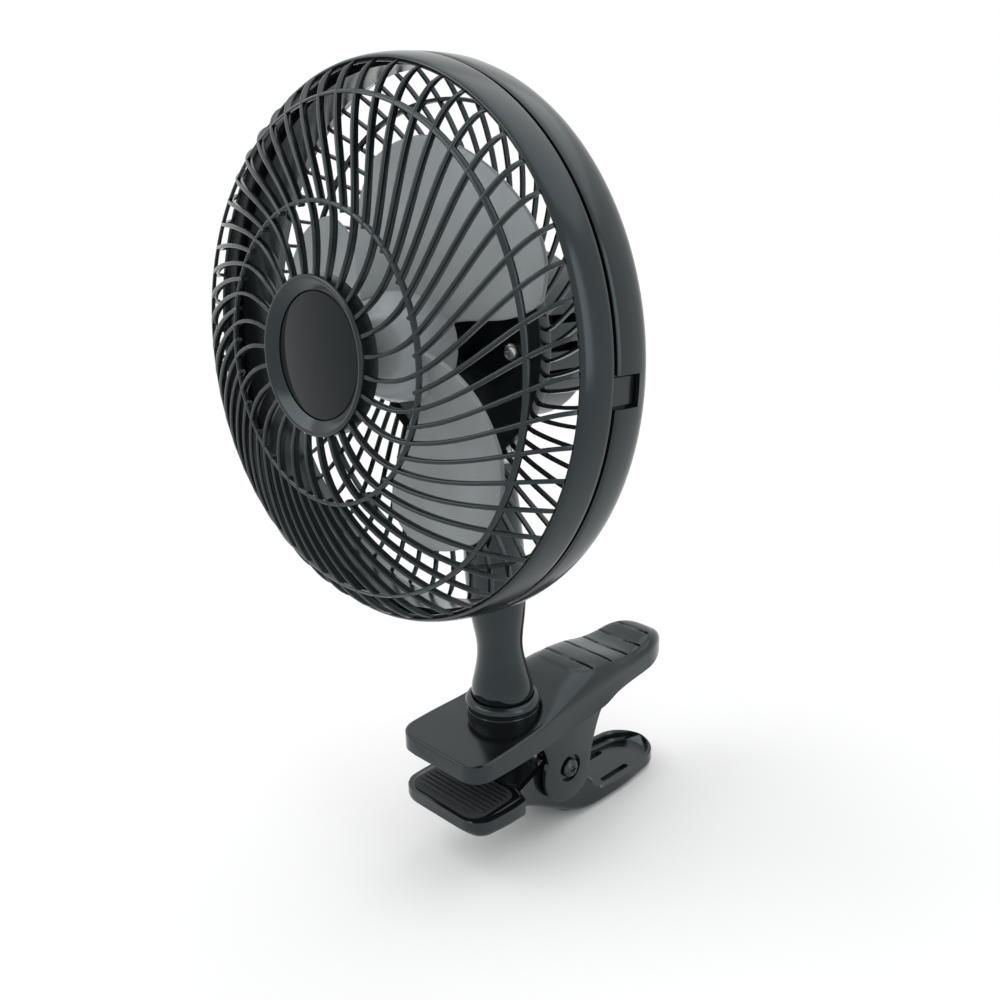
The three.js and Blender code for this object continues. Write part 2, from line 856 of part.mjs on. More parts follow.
// ---------------------------------------------------------------- head: shared shapes

// A point at a radius, an angle and a forward offset from the parting groove.
function polar(radius, angle, forward) {
  return [radius * Math.cos(angle * degree), -forward, radius * Math.sin(angle * degree)];
}

// The front guard is a dome and the rear guard a flatter one.
function frontSurface(radius) {
  return frontDepth * Math.pow(1 - Math.pow(radius / rimRadius, 2.5), 0.41);
}

function rearSurface(radius) {
  return -rearDepth * Math.pow(1 - Math.pow(radius / (rimRadius + 1.6), 4), 0.36);
}

// One rib: a bar that follows a dome. Each place gives its radius and how far the
// outer face drops there, as it does at an end. An edged rib narrows to its root.
function rib(places, angleAt, surface, side, edged) {
  const rings = places.map(([radius, drop]) => {
    const before = polar(radius - 0.5, angleAt(radius - 0.5), 0);
    const after = polar(radius + 0.5, angleAt(radius + 0.5), 0);
    const along = new THREE.Vector3(...after).sub(new THREE.Vector3(...before)).normalize();
    const across = new THREE.Vector3(-along.z, 0, along.x).multiplyScalar(ribWidth / 2);
    const front = new THREE.Vector3(...polar(radius, angleAt(radius), surface(radius)));
    const root = front.clone().add(new THREE.Vector3(0, side * ribDepth, 0));
    front.y += side * drop;
    const face = [front.clone().add(across), front.clone().sub(across)];
    const back = edged ? [root] : [root.clone().sub(across), root.clone().add(across)];
    return [...face, ...back].map((corner) => corner.toArray());
  });
  return lofted(rings);
}

// A hoop ties the ribs together within their depth. Its corners lie inside the ribs.
function hoop(radius, surface, side, start) {
  const half = hoopWidth / 2;
  return turned([
    [radius - half, side * hoopInset - surface(radius - half)],
    [radius + half, side * hoopInset - surface(radius + half)],
    [radius, side * (hoopInset + hoopDepth) - surface(radius)],
  ], "y", ribCount / 2, start);
}

// ---------------------------------------------------------------- front guard and badge

function innerAngle(radius) {
  const share = (radius - badgeRing) / (innerHoop - badgeRing);
  return ribPhase - innerSwirl + innerSwirl * share * Math.abs(share);
}

function outerAngle(radius) {
  const share = THREE.MathUtils.clamp((radius - innerHoop) / (rimFrontRadius - innerHoop), 0, 1);
  return ribPhase + outerSwirl * (1 - Math.pow(1 - share, 1.4));
}

// The angle of a front rib, which leans one way all the way out.
function frontAngle(radius) {
  return radius < innerHoop ? innerAngle(radius) : outerAngle(radius);
}

// Every other rib starts at the inner hoop. The rest start at the badge.
function frontRibs() {
  const outerPlaces = [
    [(innerHoop + outerHoop) / 2 + 4, 0],
    [outerHoop + hoopWidth / 2, 0],
    [rimFrontRadius - 0.2, ribEndDrop],
  ];
  const innerPlaces = [
    [badgeRing - 0.5, ribStartDrop],
    [(badgeRing + innerHoop) / 2, 0],
    [innerHoop + hoopWidth, 0],
  ];
  const solids = [];
  for (let i = 0; i < ribCount; i += 1) {
    const turn = 360 * i / ribCount;
    const first = i % 2 === 0 ? innerPlaces : [[innerHoop - hoopWidth / 2 - 0.3, 0]];
    const angleAt = (radius) => frontAngle(radius) + turn;
    solids.push(rib([...first, ...outerPlaces], angleAt, frontSurface, 1, false));
  }
  return solids;
}

const rimPhase = ribPhase + outerSwirl + 0.9;

function frontBand() {
  const front = frontSurface(rimFrontRadius);
  return turned([
    [rimFrontRadius, -front],
    [rimRadius, -grooveHalf],
    [rimRadius - rimWall, -grooveHalf],
    [rimRadius - rimWall - 0.2, -front * 0.5],
    [rimFrontRadius - rimWall, -front * 0.9],
  ], "y", ribCount, rimPhase);
}

const badgeFace = frontSurface(badgeRing) - badgeDepth;
const badgeSeat = badgeFace - badgeThickness - seatGap;

const cupPhase = frontAngle(badgeRing) + 360 / ribCount;

function badgeCup() {
  const lip = frontSurface(badgeRing) + 0.4;
  return turned([
    [0, -badgeSeat],
    [badgeRadius + seatGap, -badgeSeat],
    [badgeRadius + seatGap, -badgeFace],
    [badgeRing - 0.9, -lip],
    [badgeRing, -lip + 0.6],
    [badgeRing, -badgeSeat + 2],
    [0, -badgeSeat + 2],
  ], "y", ribCount / 2, cupPhase);
}

function badgeDisc() {
  return turned([
    [0, -badgeSeat - seatGap],
    [badgeRadius, -badgeSeat - seatGap],
    [badgeRadius, -badgeFace + 0.2],
    [badgeRadius - 0.4, -badgeFace],
    [0, -badgeFace - 0.15],
  ], "y", ribCount / 2, cupPhase);
}

// A hook on each side that springs into the rear guard's window.
function latchHooks() {
  const inner = rimRadius - rimWall + 0.5;
  const outer = rimRadius - 0.5;
  const half = latchWidth / 2 - seatGap - 0.5;
  const reach = latchLength + grooveHalf;
  const right = block(inner, outer, -2, reach, -half, half);
  const left = block(-outer, -inner, -2, reach, -half, half);
  return [right, left];
}

function frontGuard() {
  return joined([
    frontBand(),
    badgeCup(),
    hoop(innerHoop, frontSurface, 1, frontAngle(innerHoop)),
    hoop(outerHoop, frontSurface, 1, frontAngle(outerHoop)),
    ...frontRibs(),
    ...latchHooks(),
  ]);
}

// ---------------------------------------------------------------- rear guard

function rearAngle(radius) {
  const share = THREE.MathUtils.clamp((radius - plateRadius) / (rimFrontRadius - plateRadius), 0, 1);
  return ribPhase + outerSwirl - rearSwirl * Math.pow(1 - share, 1.4);
}

const spigotRadius = rimRadius - rimWall - 0.2 - seatGap;
const rearInner = spigotRadius - 1.7;
const plateFront = rearSurface(plateRadius) + plateThickness;

function rearBand() {
  return turned([
    [rimRadius + 0.1, grooveHalf],
    [rimRadius + rimBulge, rearRimDepth / 2],
    [rimRadius - 2.2, rearRimDepth],
    [rearInner, rearRimDepth - 5],
    [rearInner, -spigotLength],
    [spigotRadius, -spigotLength],
    [spigotRadius, grooveHalf],
  ], "y", ribCount, rimPhase);
}

function rearPlate() {
  const rear = -rearSurface(plateRadius);
  return turned([
    [bushHolder + seatGap, rear - plateThickness],
    [plateRadius - 1.8, rear - plateThickness],
    [plateRadius, rear - ribDepth - 0.5],
    [plateRadius + 0.4, rear + 0.2],
    [bushHolder + seatGap, rear + 0.2],
  ], "y", ribCount / 2, rearAngle(plateRadius) + 180 / ribCount);
}

function screwPlaces() {
  const places = [];
  for (let i = 0; i < screwCount; i += 1) {
    const turn = 2 * Math.PI * i / screwCount;
    places.push([screwCircle * Math.cos(turn), 0, screwCircle * Math.sin(turn)]);
  }
  return places;
}

function latchWindows() {
  const half = latchWidth / 2;
  const cutStart = -grooveHalf;
  const cutEnd = grooveHalf + latchLength + seatGap * 2;
  const floor = spigotRadius + 0.2;
  const reach = rimRadius + 4;
  return [
    block(floor, reach, cutStart, cutEnd, -half, half),
    block(-reach, -floor, cutStart, cutEnd, -half, half),
  ];
}

function rearGuard() {
  const places = [
    [plateRadius - 0.6, ribStartDrop],
    [(plateRadius + outerHoop) / 2, 0],
    [outerHoop + hoopWidth - 0.4, 0],
    [rimRadius - 2.1, ribEndDrop],
  ];
  const hoopRadius = outerHoop - 0.4;
  const rearHoop = hoop(hoopRadius, rearSurface, -1, rearAngle(hoopRadius));
  const solids = [rearBand(), rearPlate(), rearHoop];
  for (let i = 0; i < ribCount; i += 1) {
    const turn = 360 * i / ribCount;
    solids.push(rib(places, (radius) => rearAngle(radius) + turn, rearSurface, -1, true));
  }
  const holes = screwPlaces().map((place) =>
    bar("y", screwShank + seatGap, -plateFront - 2, -plateFront + plateThickness + 2, 8)
      .translate(place));
  return cutBy(joined(solids), [...holes, ...latchWindows()]);
}

// ---------------------------------------------------------------- motor housing

// Distances behind the parting groove.
const coverFront = -rearSurface(plateRadius) + 0.2 + seatGap;
const coverRear = coverFront + coverThickness;
const caseFront = coverRear + seatGap;
const caseRear = caseFront + motorLength;
const caseInner = motorRadius - motorWall;
const holderFront = coverFront - holderLength;

function motorFrontCover() {
  const body = turned([
    [bushRadius + seatGap, holderFront],
    [bushHolder, holderFront],
    [bushHolder, coverFront],
    [motorRadius, coverFront],
    [motorRadius, coverRear],
    [caseInner - seatGap, coverRear],
    [caseInner - seatGap, coverRear + coverSpigot],
    [caseInner - seatGap - 1.6, coverRear + coverSpigot],
    [caseInner - seatGap - 1.6, coverRear],
    [shaftRadius + 1, coverRear],
    [shaftRadius + 1, coverRear - 0.8],
    [bushRadius + seatGap, coverRear - 0.8],
  ], "y", 18);
  const holes = screwPlaces().map((place) =>
    bar("y", screwShank + seatGap, coverFront - 1, coverRear + 4, 8).translate(place));
  const caseHoles = [1, -1].map((side) =>
    bar("y", screwShank + seatGap, coverFront - 1, coverRear + 1, 8)
      .translate([side * caseScrewOffset, 0, 0]));
  return cutBy(body, [...holes, ...caseHoles]);
}

// The housing's two ears take the tilt bolt on either side of the neck's tongue.
function tiltEars() {
  const behind = headReach;
  const below = -headRise;
  const shape = new THREE.Shape();
  shape.moveTo(behind - earRadius, below);
  shape.absarc(behind, below, earRadius, Math.PI, 2 * Math.PI, false);
  shape.lineTo(behind + earRadius + 1.5, 4 - motorRadius);
  shape.lineTo(behind - earRadius - 0.4, 4 - motorRadius);
  const inner = tongueWidth / 2 + seatGap;
  return [
    acrossX(shape, inner, inner + earWall),
    acrossX(shape, -inner - earWall, -inner),
  ];
}

const coreRear = caseRear - motorWall - 8;
const coreFront = coreRear - coreLength;

function motorRearCover() {
  const inside = caseRear - motorWall;
  const shell = turned([
    [0, inside],
    [caseInner - motorCorner + motorWall, inside],
    [caseInner, inside - motorCorner + motorWall],
    [caseInner, caseFront],
    [motorRadius, caseFront],
    [motorRadius, caseRear - motorCorner],
    [motorRadius - motorCorner * 0.3, caseRear - motorCorner * 0.3],
    [motorRadius - motorCorner, caseRear],
    [0, caseRear],
  ], "y", 18);
  const bossEnd = caseFront + 0.2;
  const caseBosses = [1, -1].map((side) =>
    bar("y", screwShank + 2, bossEnd, inside + 0.5, 10).translate([side * caseScrewOffset, 0, 0]));
  const corePosts = [1, -1].map((side) =>
    bar("y", 2.4, coreRear + seatGap, inside + 0.5, 8).translate([side * 13, 0, -15]));
  const bushHousing = bar("y", bushHolder, inside - bushLength + 0.5, inside + 0.5, 12);
  const gland = bar("y", glandRadius, caseRear - 1, caseRear + 1.2, 12).translate([0, 0, -glandDrop]);
  const body = joined([shell, ...caseBosses, ...corePosts, bushHousing, gland, ...tiltEars()]);
  const vents = [];
  for (const side of [0, 180]) {
    for (let i = 0; i < ventCount; i += 1) {
      const turn = (side + (i - (ventCount - 1) / 2) * ventPitch) * degree;
      const cutter = new THREE.BoxGeometry(10, ventLength, ventWidth);
      cutter.translate(motorRadius, 0, 0);
      cutter.rotateY(-turn);
      cutter.translate(0, caseRear - 12 - ventLength / 2, 0);
      vents.push(asSolid(cutter));
    }
  }
  const boltHole = bar("x", tiltBoltRadius + runningGap, -20, 20, 12)
    .translate([0, headReach, -headRise]);
  const screwHoles = [1, -1].map((side) =>
    bar("y", screwShank + seatGap, bossEnd - 1, caseRear + 1, 8)
      .translate([side * caseScrewOffset, 0, 0]));
  const bushHole = bar("y", bushRadius + seatGap, inside - bushLength - 1, inside - 0.3, 12);
  const cordHole = bar("y", glandBore + 1, inside - 1, caseRear + 2, 12).translate([0, 0, -glandDrop]);
  const knobHole = bar("y", 3 + seatGap, inside - 1, caseRear + 1, 12).translate([0, 0, knobRise]);
  return cutBy(body, [...vents, boltHole, ...screwHoles, bushHole, cordHole, knobHole]);
}

// One of the screws that hold the rear guard's plate to the front cover.
function guardScrew(place) {
  const seat = -plateFront - seatGap;
  return turned([
    [0, seat - 2],
    [screwHead * 0.7, seat - 2],
    [screwHead, seat - 1],
    [screwHead, seat],
    [screwShank, seat],
    [screwShank, coverRear - 0.2],
    [0, coverRear - 0.2],
  ], "y", 8).translate(place);
}

// One of the two screws that hold the rear cover to the front cover.
function caseScrew(side) {
  const seat = caseRear + seatGap;
  return turned([
    [0, coverFront + 0.6],
    [screwShank, coverFront + 0.6],
    [screwShank, seat],
    [screwHead, seat],
    [screwHead, seat + 1.2],
    [screwHead * 0.7, seat + 1.9],
    [0, seat + 1.9],
  ], "y", 8).translate([side * caseScrewOffset, 0, 0]);
}

// ---------------------------------------------------------------- motor works

function bush(from) {
  return turned([
    [shaftRadius + runningGap, from],
    [bushRadius, from],
    [bushRadius, from + bushLength - 1.2],
    [shaftRadius + runningGap, from + bushLength - 1.2],
  ], "y", 10);
}

function statorCore() {
  const bore = rotorRadius + airGap;
  const shape = new THREE.Shape();
  shape.moveTo(-coreHalfWidth, -coreBottom);
  shape.lineTo(coreHalfWidth, -coreBottom);
  shape.lineTo(coreHalfWidth, coreTop - 4);
  shape.lineTo(coreHalfWidth - 4, coreTop);
  shape.lineTo(4 - coreHalfWidth, coreTop);
  shape.lineTo(-coreHalfWidth, coreTop - 4);
  const window = block(
    -coilHalfWidth - seatGap, coilHalfWidth + seatGap, coreFront - 1, coreRear + 1,
    coreLeg - coreBottom, -bore - 0.8);
  const hole = bar("y", bore, coreFront - 1, coreRear + 1, 16);
  return cutBy(alongY(shape, coreFront, coreRear), [window, hole]);
}

function statorWinding() {
  const inner = seatGap;
  const outer = inner + coilThickness;
  const top = coreLeg - coreBottom;
  const ring = block(
    -coilHalfWidth, coilHalfWidth, coreFront - outer, coreRear + outer,
    -coreBottom - outer, top + outer);
  return ring.subtract(block(
    -coilHalfWidth - 1, coilHalfWidth + 1, coreFront - inner, coreRear + inner,
    -coreBottom - inner, top + inner));
}

function rotorCore() {
  return turned([
    [shaftRadius + runningGap, coreFront],
    [rotorRadius, coreFront],
    [rotorRadius, coreRear],
    [shaftRadius + runningGap, coreRear],
  ], "y", 16);
}

function motorShaft() {
  const end = caseRear - motorWall - 0.9;
  return bar("y", shaftRadius, seatGap - hubShoulder - 2, end, 12);
}

// ---------------------------------------------------------------- impeller

// The two side edges of a blade, as angles.
function leadingAngle(radius) {
  const share = (47 - radius) / 30;
  return 18 + 13 * share * share;
}

function trailingAngle(radius) {
  const out = radius - hubRadius;
  return 126 - 0.55 * out - 0.0045 * out * out;
}

// A point of a blade's face: across from edge to edge, out from hub to tip.
function bladePoint(across, out, turn, lift) {
  const tip = bladeTip - 9 * Math.pow(Math.abs(2 * across - 1), 6);
  const radius = hubRadius - 0.9 + (tip - hubRadius + 0.9) * out;
  const from = leadingAngle(radius);
  const angle = from + (trailingAngle(radius) - from) * across + turn;
  const camber = 2.2 * Math.sin(Math.PI * across);
  const reach = THREE.MathUtils.clamp((radius - hubRadius) / (bladeTip - hubRadius), 0, 1);
  const twist = 1 - 0.25 * reach;
  const pitch = (bladeRear + (bladeFront - bladeRear) * across) * twist;
  return polar(radius, angle, pitch - camber + lift);
}

function blade(turn) {
  const wide = 6;
  const long = 3;
  const positions = [];
  for (const lift of [bladeThickness / 2, -bladeThickness / 2]) {
    for (let i = 0; i <= wide; i += 1) {
      for (let j = 0; j <= long; j += 1) {
        positions.push(...bladePoint(i / wide, j / long, turn, lift));
      }
    }
  }
  const row = long + 1;
  const back = (wide + 1) * row;
  const index = [];
  const quad = (a, b, c, d) => index.push(a, b, c, a, c, d);
  for (let i = 0; i < wide; i += 1) {
    for (let j = 0; j < long; j += 1) {
      const a = i * row + j;
      quad(a, a + 1, a + row + 1, a + row);
      quad(back + a, back + a + row, back + a + row + 1, back + a + 1);
    }
    const [root, tip] = [i * row, i * row + long];
    quad(root, root + row, back + root + row, back + root);
    quad(tip, back + tip, back + tip + row, tip + row);
  }
  for (let j = 0; j < long; j += 1) {
    const far = wide * row + j;
    quad(j, back + j, back + j + 1, j + 1);
    quad(far, far + 1, back + far + 1, back + far);
  }
  const geometry = new THREE.BufferGeometry();
  geometry.setAttribute("position", new THREE.Float32BufferAttribute(positions, 3));
  geometry.setIndex(index);
  return asSolid(geometry);
}

function impeller() {
  const bore = shaftRadius + runningGap;
  const hub = turned([
    [0, -hubFront],
    [hubRadius * 0.45, -hubFront + 0.9],
    [hubRadius * 0.8, -hubFront + 4],
    [hubRadius, -hubShoulder],
    [hubRadius, -hubRear],
    [hubRadius - hubWall, -hubRear],
    [hubRadius - hubWall, -hubShoulder + 1],
    [hubBoss, -hubFront + 4],
    [hubBoss, -hubRear - 1],
    [bore, -hubRear - 1],
    [bore, -hubShoulder - 2],
    [0, -hubShoulder - 2],
  ], "y", 16);
  const solids = [hub];
  for (let i = 0; i < bladeCount; i += 1) solids.push(blade(360 * i / bladeCount));
  const clearance = bar("y", hubRadius - hubWall, -hubShoulder + 1, -hubRear + 4, 16)
    .subtract(bar("y", hubBoss + 0.2, -hubShoulder, -hubRear + 5, 16));
  return cutBy(joined(solids), [clearance]);
}

// ---------------------------------------------------------------- small parts on the housing

function cordGland() {
  const stop = glandBore + 0.7;
  return turned([
    [glandBore, caseRear - motorWall - 0.4],
    [stop, caseRear - motorWall - 0.4],
    [stop, caseRear + 1.2 + seatGap],
    [glandRadius, caseRear + 1.2 + seatGap],
    [glandRadius - 0.8, caseRear + 1.2 + glandLength],
    [glandBore, caseRear + 1.2 + glandLength],
  ], "y", 10).translate([0, 0, -glandDrop]);
}

function switchKnob() {
  const base = caseRear + seatGap;
  const skirt = turned([
    [0, base],
    [knobRadius, base],
    [knobRadius, base + 2.4],
    [knobRadius - 1.6, base + 3.4],
    [0, base + 3.4],
  ], "y", 14);
  const stem = bar("y", 3, caseRear - motorWall - 2, base + 1, 12);
  const grip = roundedRectangle(-2.1, 2.1, -knobRadius + 0.6, knobRadius - 0.6, 2);
  return joined([skirt, stem, alongY(grip, base + 1, base + knobLength)])
    .translate([0, 0, knobRise]);
}

function switchBody() {
  const front = caseRear - motorWall - 7;
  const body = block(
    -6.5, 6.5, front, caseRear - motorWall - seatGap, knobRise - switchHalf, knobRise + switchHalf);
  const bore = bar("y", 3 + seatGap, front + 3, caseRear, 12).translate([0, 0, knobRise]);
  return body.subtract(bore);
}

function tiltBolt() {
  const seat = tongueWidth / 2 + seatGap + earWall + seatGap;
  return turned([
    [0, -seat - tiltNutHeight - 0.6],
    [tiltBoltRadius, -seat - tiltNutHeight - 0.6],
    [tiltBoltRadius, seat],
    [tiltHeadRadius, seat],
    [tiltHeadRadius, seat + 1.4],
    [tiltHeadRadius * 0.7, seat + 2.6],
    [0, seat + 2.6],
  ], "x", 12);
}

function tiltNut() {
  const seat = tongueWidth / 2 + 2 * seatGap + earWall;
  const bore = (tiltBoltRadius + runningGap) / Math.cos(Math.PI / 6);
  return turned([
    [bore, -seat - tiltNutHeight],
    [tiltHeadRadius, -seat - tiltNutHeight],
    [tiltHeadRadius, -seat],
    [bore, -seat],
  ], "x", 6);
}

// ---------------------------------------------------------------- the assembly

const black = 0x14171a;
const gloss = 0x1b1f22;
const grey = 0x9aa0a2;
const steel = 0xb9bcc0;
const rubber = 0x202224;
const copper = 0xa85a32;

const fan = new THREE.Group();

const clip = new THREE.Group();
piece(clip, "upper_jaw", upperJaw(), gloss, 0.25);
piece(clip, "upper_pad", gripPad(0, gripThickness), rubber, 0.8);
piece(clip, "lower_jaw", lowerJaw(), gloss, 0.3);
piece(clip, "lower_pad", gripPad(-jawOpening - gripThickness, -jawOpening), rubber, 0.8);
piece(clip, "pivot_screw", pivotScrew(), steel, 0.3, 1);
piece(clip, "pivot_nut", pivotNut(), steel, 0.35, 1);
piece(clip, "clip_spring", clipSpring(), steel, 0.35, 1);
piece(clip, "swivel_ring", swivelRing(), black, 0.3);
fan.add(clip);

const neck = new THREE.Group();
piece(neck, "neck_post", neckPost(), gloss, 0.2);
piece(neck, "neck_washer", neckWasher(), steel, 0.35, 1);
piece(neck, "neck_screw", neckScrew(), steel, 0.35, 1);
fan.add(neck);

// Everything in the head turns about the tilt bolt.
const head = new THREE.Group();
head.position.set(0, tiltY, tiltHeight);
head.rotation.x = -headTilt * degree;
piece(head, "tilt_bolt", tiltBolt(), steel, 0.35, 1);
piece(head, "tilt_nut", tiltNut(), steel, 0.4, 1);

const axisGroup = new THREE.Group();
axisGroup.position.set(0, -headReach, headRise);
piece(axisGroup, "front_guard", frontGuard(), gloss, 0.3);
piece(axisGroup, "badge_disc", badgeDisc(), black, 0.12);
piece(axisGroup, "rear_guard", rearGuard(), gloss, 0.3);
piece(axisGroup, "impeller", impeller(), grey, 0.35);
piece(axisGroup, "motor_shaft", motorShaft(), steel, 0.25, 1);
piece(axisGroup, "rotor_core", rotorCore(), steel, 0.5, 1);
piece(axisGroup, "stator_core", statorCore(), 0x6d7072, 0.6, 1);
piece(axisGroup, "stator_winding", statorWinding(), copper, 0.5);
piece(axisGroup, "front_bush", bush(holderFront + 0.3), 0xb08d4a, 0.4, 1);
piece(axisGroup, "rear_bush", bush(caseRear - motorWall - bushLength + 0.5), 0xb08d4a, 0.4, 1);
piece(axisGroup, "motor_front_cover", motorFrontCover(), black, 0.45);
piece(axisGroup, "motor_rear_cover", motorRearCover(), gloss, 0.35);
screwPlaces().forEach((place, i) =>
  piece(axisGroup, `guard_screw_${i + 1}`, guardScrew(place), steel, 0.3, 1));
piece(axisGroup, "case_screw_1", caseScrew(1), steel, 0.35, 1);
piece(axisGroup, "case_screw_2", caseScrew(-1), steel, 0.35, 1);
piece(axisGroup, "cord_gland", cordGland(), rubber, 0.7);
piece(axisGroup, "switch_body", switchBody(), black, 0.6);
piece(axisGroup, "switch_knob", switchKnob(), black, 0.4);
head.add(axisGroup);
fan.add(head);

export default fan;
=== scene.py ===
from math import atan2, cos, exp, hypot, pi, radians, sin, sqrt

import bpy
from mathutils import Matrix, Vector


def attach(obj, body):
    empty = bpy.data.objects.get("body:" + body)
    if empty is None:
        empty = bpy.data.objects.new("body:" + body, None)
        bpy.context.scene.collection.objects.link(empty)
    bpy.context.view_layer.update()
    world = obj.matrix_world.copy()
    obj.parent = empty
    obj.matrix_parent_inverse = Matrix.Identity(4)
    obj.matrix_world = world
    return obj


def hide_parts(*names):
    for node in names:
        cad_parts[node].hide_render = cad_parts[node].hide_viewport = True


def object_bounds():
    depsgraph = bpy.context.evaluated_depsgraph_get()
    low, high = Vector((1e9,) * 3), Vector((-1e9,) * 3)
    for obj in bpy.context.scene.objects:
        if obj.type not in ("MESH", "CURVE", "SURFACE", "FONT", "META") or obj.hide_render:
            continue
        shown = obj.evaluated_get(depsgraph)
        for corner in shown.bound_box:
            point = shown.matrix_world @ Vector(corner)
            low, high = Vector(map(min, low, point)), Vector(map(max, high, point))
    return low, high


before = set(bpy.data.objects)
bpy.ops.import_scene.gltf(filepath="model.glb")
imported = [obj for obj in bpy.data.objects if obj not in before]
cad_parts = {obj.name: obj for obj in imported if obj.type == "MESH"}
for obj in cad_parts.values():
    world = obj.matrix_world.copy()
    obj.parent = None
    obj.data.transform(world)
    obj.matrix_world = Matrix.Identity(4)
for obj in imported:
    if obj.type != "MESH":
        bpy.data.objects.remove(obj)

cad_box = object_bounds()
mm = 0.001

# ---------------------------------------------------------------- camera and studio
# A plain pale floor under soft lamps, seen from ahead, above and to the right. The camera's
# place, turn and lens are those of the camera fitted to the photograph.
camera_data = bpy.data.cameras.new("camera")
camera_data.sensor_width = 36.0
camera_data.lens = 43.98
camera_data.shift_x = -0.0045
camera_data.shift_y = -0.0175
camera_data.clip_end = 20.0
camera = bpy.data.objects.new("camera", camera_data)
bpy.context.collection.objects.link(camera)
bpy.context.scene.camera = camera

bearing, dip, roll = radians(45.92), radians(19.36), radians(1.39)
back = Vector((sin(bearing) * cos(dip), -cos(bearing) * cos(dip), sin(dip)))
right = (-back).cross(Vector((0, 0, 1))).normalized()
down = (-back).cross(right).normalized()
rolled_right = right * cos(roll) + down * sin(roll)
rolled_down = down * cos(roll) - right * sin(roll)
turn = Matrix((rolled_right, -rolled_down, back)).transposed().to_4x4()
camera.matrix_world = Matrix.Translation((0.3010, -0.2698, 0.2491)) @ turn


def lamp(name, place, aim, size, power, tint):
    data = bpy.data.lights.new(name, "AREA")
    data.shape = "RECTANGLE"
    data.size, data.size_y = size
    data.energy = power
    data.color = tint
    obj = bpy.data.objects.new(name, data)
    bpy.context.collection.objects.link(obj)
    towards = Vector(aim) - Vector(place)
    aimed = towards.to_track_quat("-Z", "Y").to_matrix().to_4x4()
    obj.matrix_world = Matrix.Translation(place) @ aimed


lamp("key", (-0.45, -0.7, 1.0), (0, 0, 0.12), (1.0, 1.0), 6.0, (1.0, 1.0, 1.0))
lamp("fill", (1.1, 0.1, 0.45), (0, 0, 0.12), (0.5, 0.9), 2.4, (0.93, 0.97, 1.0))
lamp("top", (0.1, 0.4, 1.1), (0, 0, 0.1), (1.3, 1.1), 3.4, (1.0, 1.0, 1.0))


def seen_rays(tree_nodes, tree_links):
    """1 for camera, glossy and transmission rays and 0 for the rest, which only bring light."""
    path = tree_nodes.new("ShaderNodeLightPath")
    seen = path.outputs["Is Camera Ray"]
    for kind in ("Is Glossy Ray", "Is Transmission Ray"):
        either = tree_nodes.new("ShaderNodeMath")
        either.operation = "MAXIMUM"
        tree_links.new(seen, either.inputs[0])
        tree_links.new(path.outputs[kind], either.inputs[1])
        seen = either.outputs[0]
    return seen


# The world is white where it is seen and a little dimmer as a source of light.
world = bpy.data.worlds.new("studio")
bpy.context.scene.world = world
world.use_nodes = True
nodes, links = world.node_tree.nodes, world.node_tree.links
nodes.clear()
strength = nodes.new("ShaderNodeMapRange")
strength.inputs["To Min"].default_value = 0.8
strength.inputs["To Max"].default_value = 1.0
sky = nodes.new("ShaderNodeBackground")
sky.inputs["Color"].default_value = (1, 1, 1, 1)
out = nodes.new("ShaderNodeOutputWorld")
links.new(seen_rays(nodes, links), strength.inputs["Value"])
links.new(strength.outputs["Result"], sky.inputs["Strength"])
links.new(sky.outputs[0], out.inputs["Surface"])
bpy.context.scene.view_settings.view_transform = "Standard"

# The floor takes shadows near the fan and fades to the white of the world further out.
floor_level = cad_box[0][2] - 1.0 * mm
fade_start, fade_end = 0.16, 0.5
bpy.ops.object.select_all(action="DESELECT")
bpy.ops.mesh.primitive_plane_add(size=12)
floor = bpy.context.object
floor.name = "floor"
floor.data.transform(Matrix.Translation((0, 0, floor_level)))
floor_paint = bpy.data.materials.new("floor_paint")
floor_paint.use_nodes = True
nodes, links = floor_paint.node_tree.nodes, floor_paint.node_tree.links
paper = nodes["Principled BSDF"]
paper.inputs["Base Color"].default_value = (0.9, 0.9, 0.9, 1)
paper.inputs["Roughness"].default_value = 0.7
paper.inputs["Specular IOR Level"].default_value = 0.1
place = nodes.new("ShaderNodeTexCoord")
reach = nodes.new("ShaderNodeVectorMath")
reach.operation = "LENGTH"
fade = nodes.new("ShaderNodeMapRange")
fade.interpolation_type = "SMOOTHSTEP"
fade.inputs["From Min"].default_value = fade_start
fade.inputs["From Max"].default_value = fade_end
share = nodes.new("ShaderNodeMath")
share.operation = "MULTIPLY"
backdrop = nodes.new("ShaderNodeEmission")
blend = nodes.new("ShaderNodeMixShader")
links.new(place.outputs["Object"], reach.inputs[0])
links.new(reach.outputs["Value"], fade.inputs["Value"])
links.new(seen_rays(nodes, links), share.inputs[0])
links.new(fade.outputs["Result"], share.inputs[1])
links.new(share.outputs[0], blend.inputs["Fac"])
links.new(paper.outputs[0], blend.inputs[1])
links.new(backdrop.outputs[0], blend.inputs[2])
links.new(blend.outputs[0], nodes["Material Output"].inputs["Surface"])
floor.data.materials.append(floor_paint)

# ---------------------------------------------------------------- upper jaw and handle
# One glossy black moulding: a flat nose with a round collar seat, a hollow handle with
# five thumb grooves, and two cheeks that carry the pivot screw. Shapes are in millimetres
# and are brought to metres when a piece is finished.
neck_y = 18.0
nose_y = neck_y - 35.4
pivot_y, pivot_z = neck_y + 18.0, -16.5
handle_end_y = neck_y + 90.0
jaw_half, nose_corner = 21.9, 8.0
cheek_half, wall_thick = 18.5, 2.2
pivot_bore, pivot_recess, recess_deep = 2.8, 5.7, 1.3


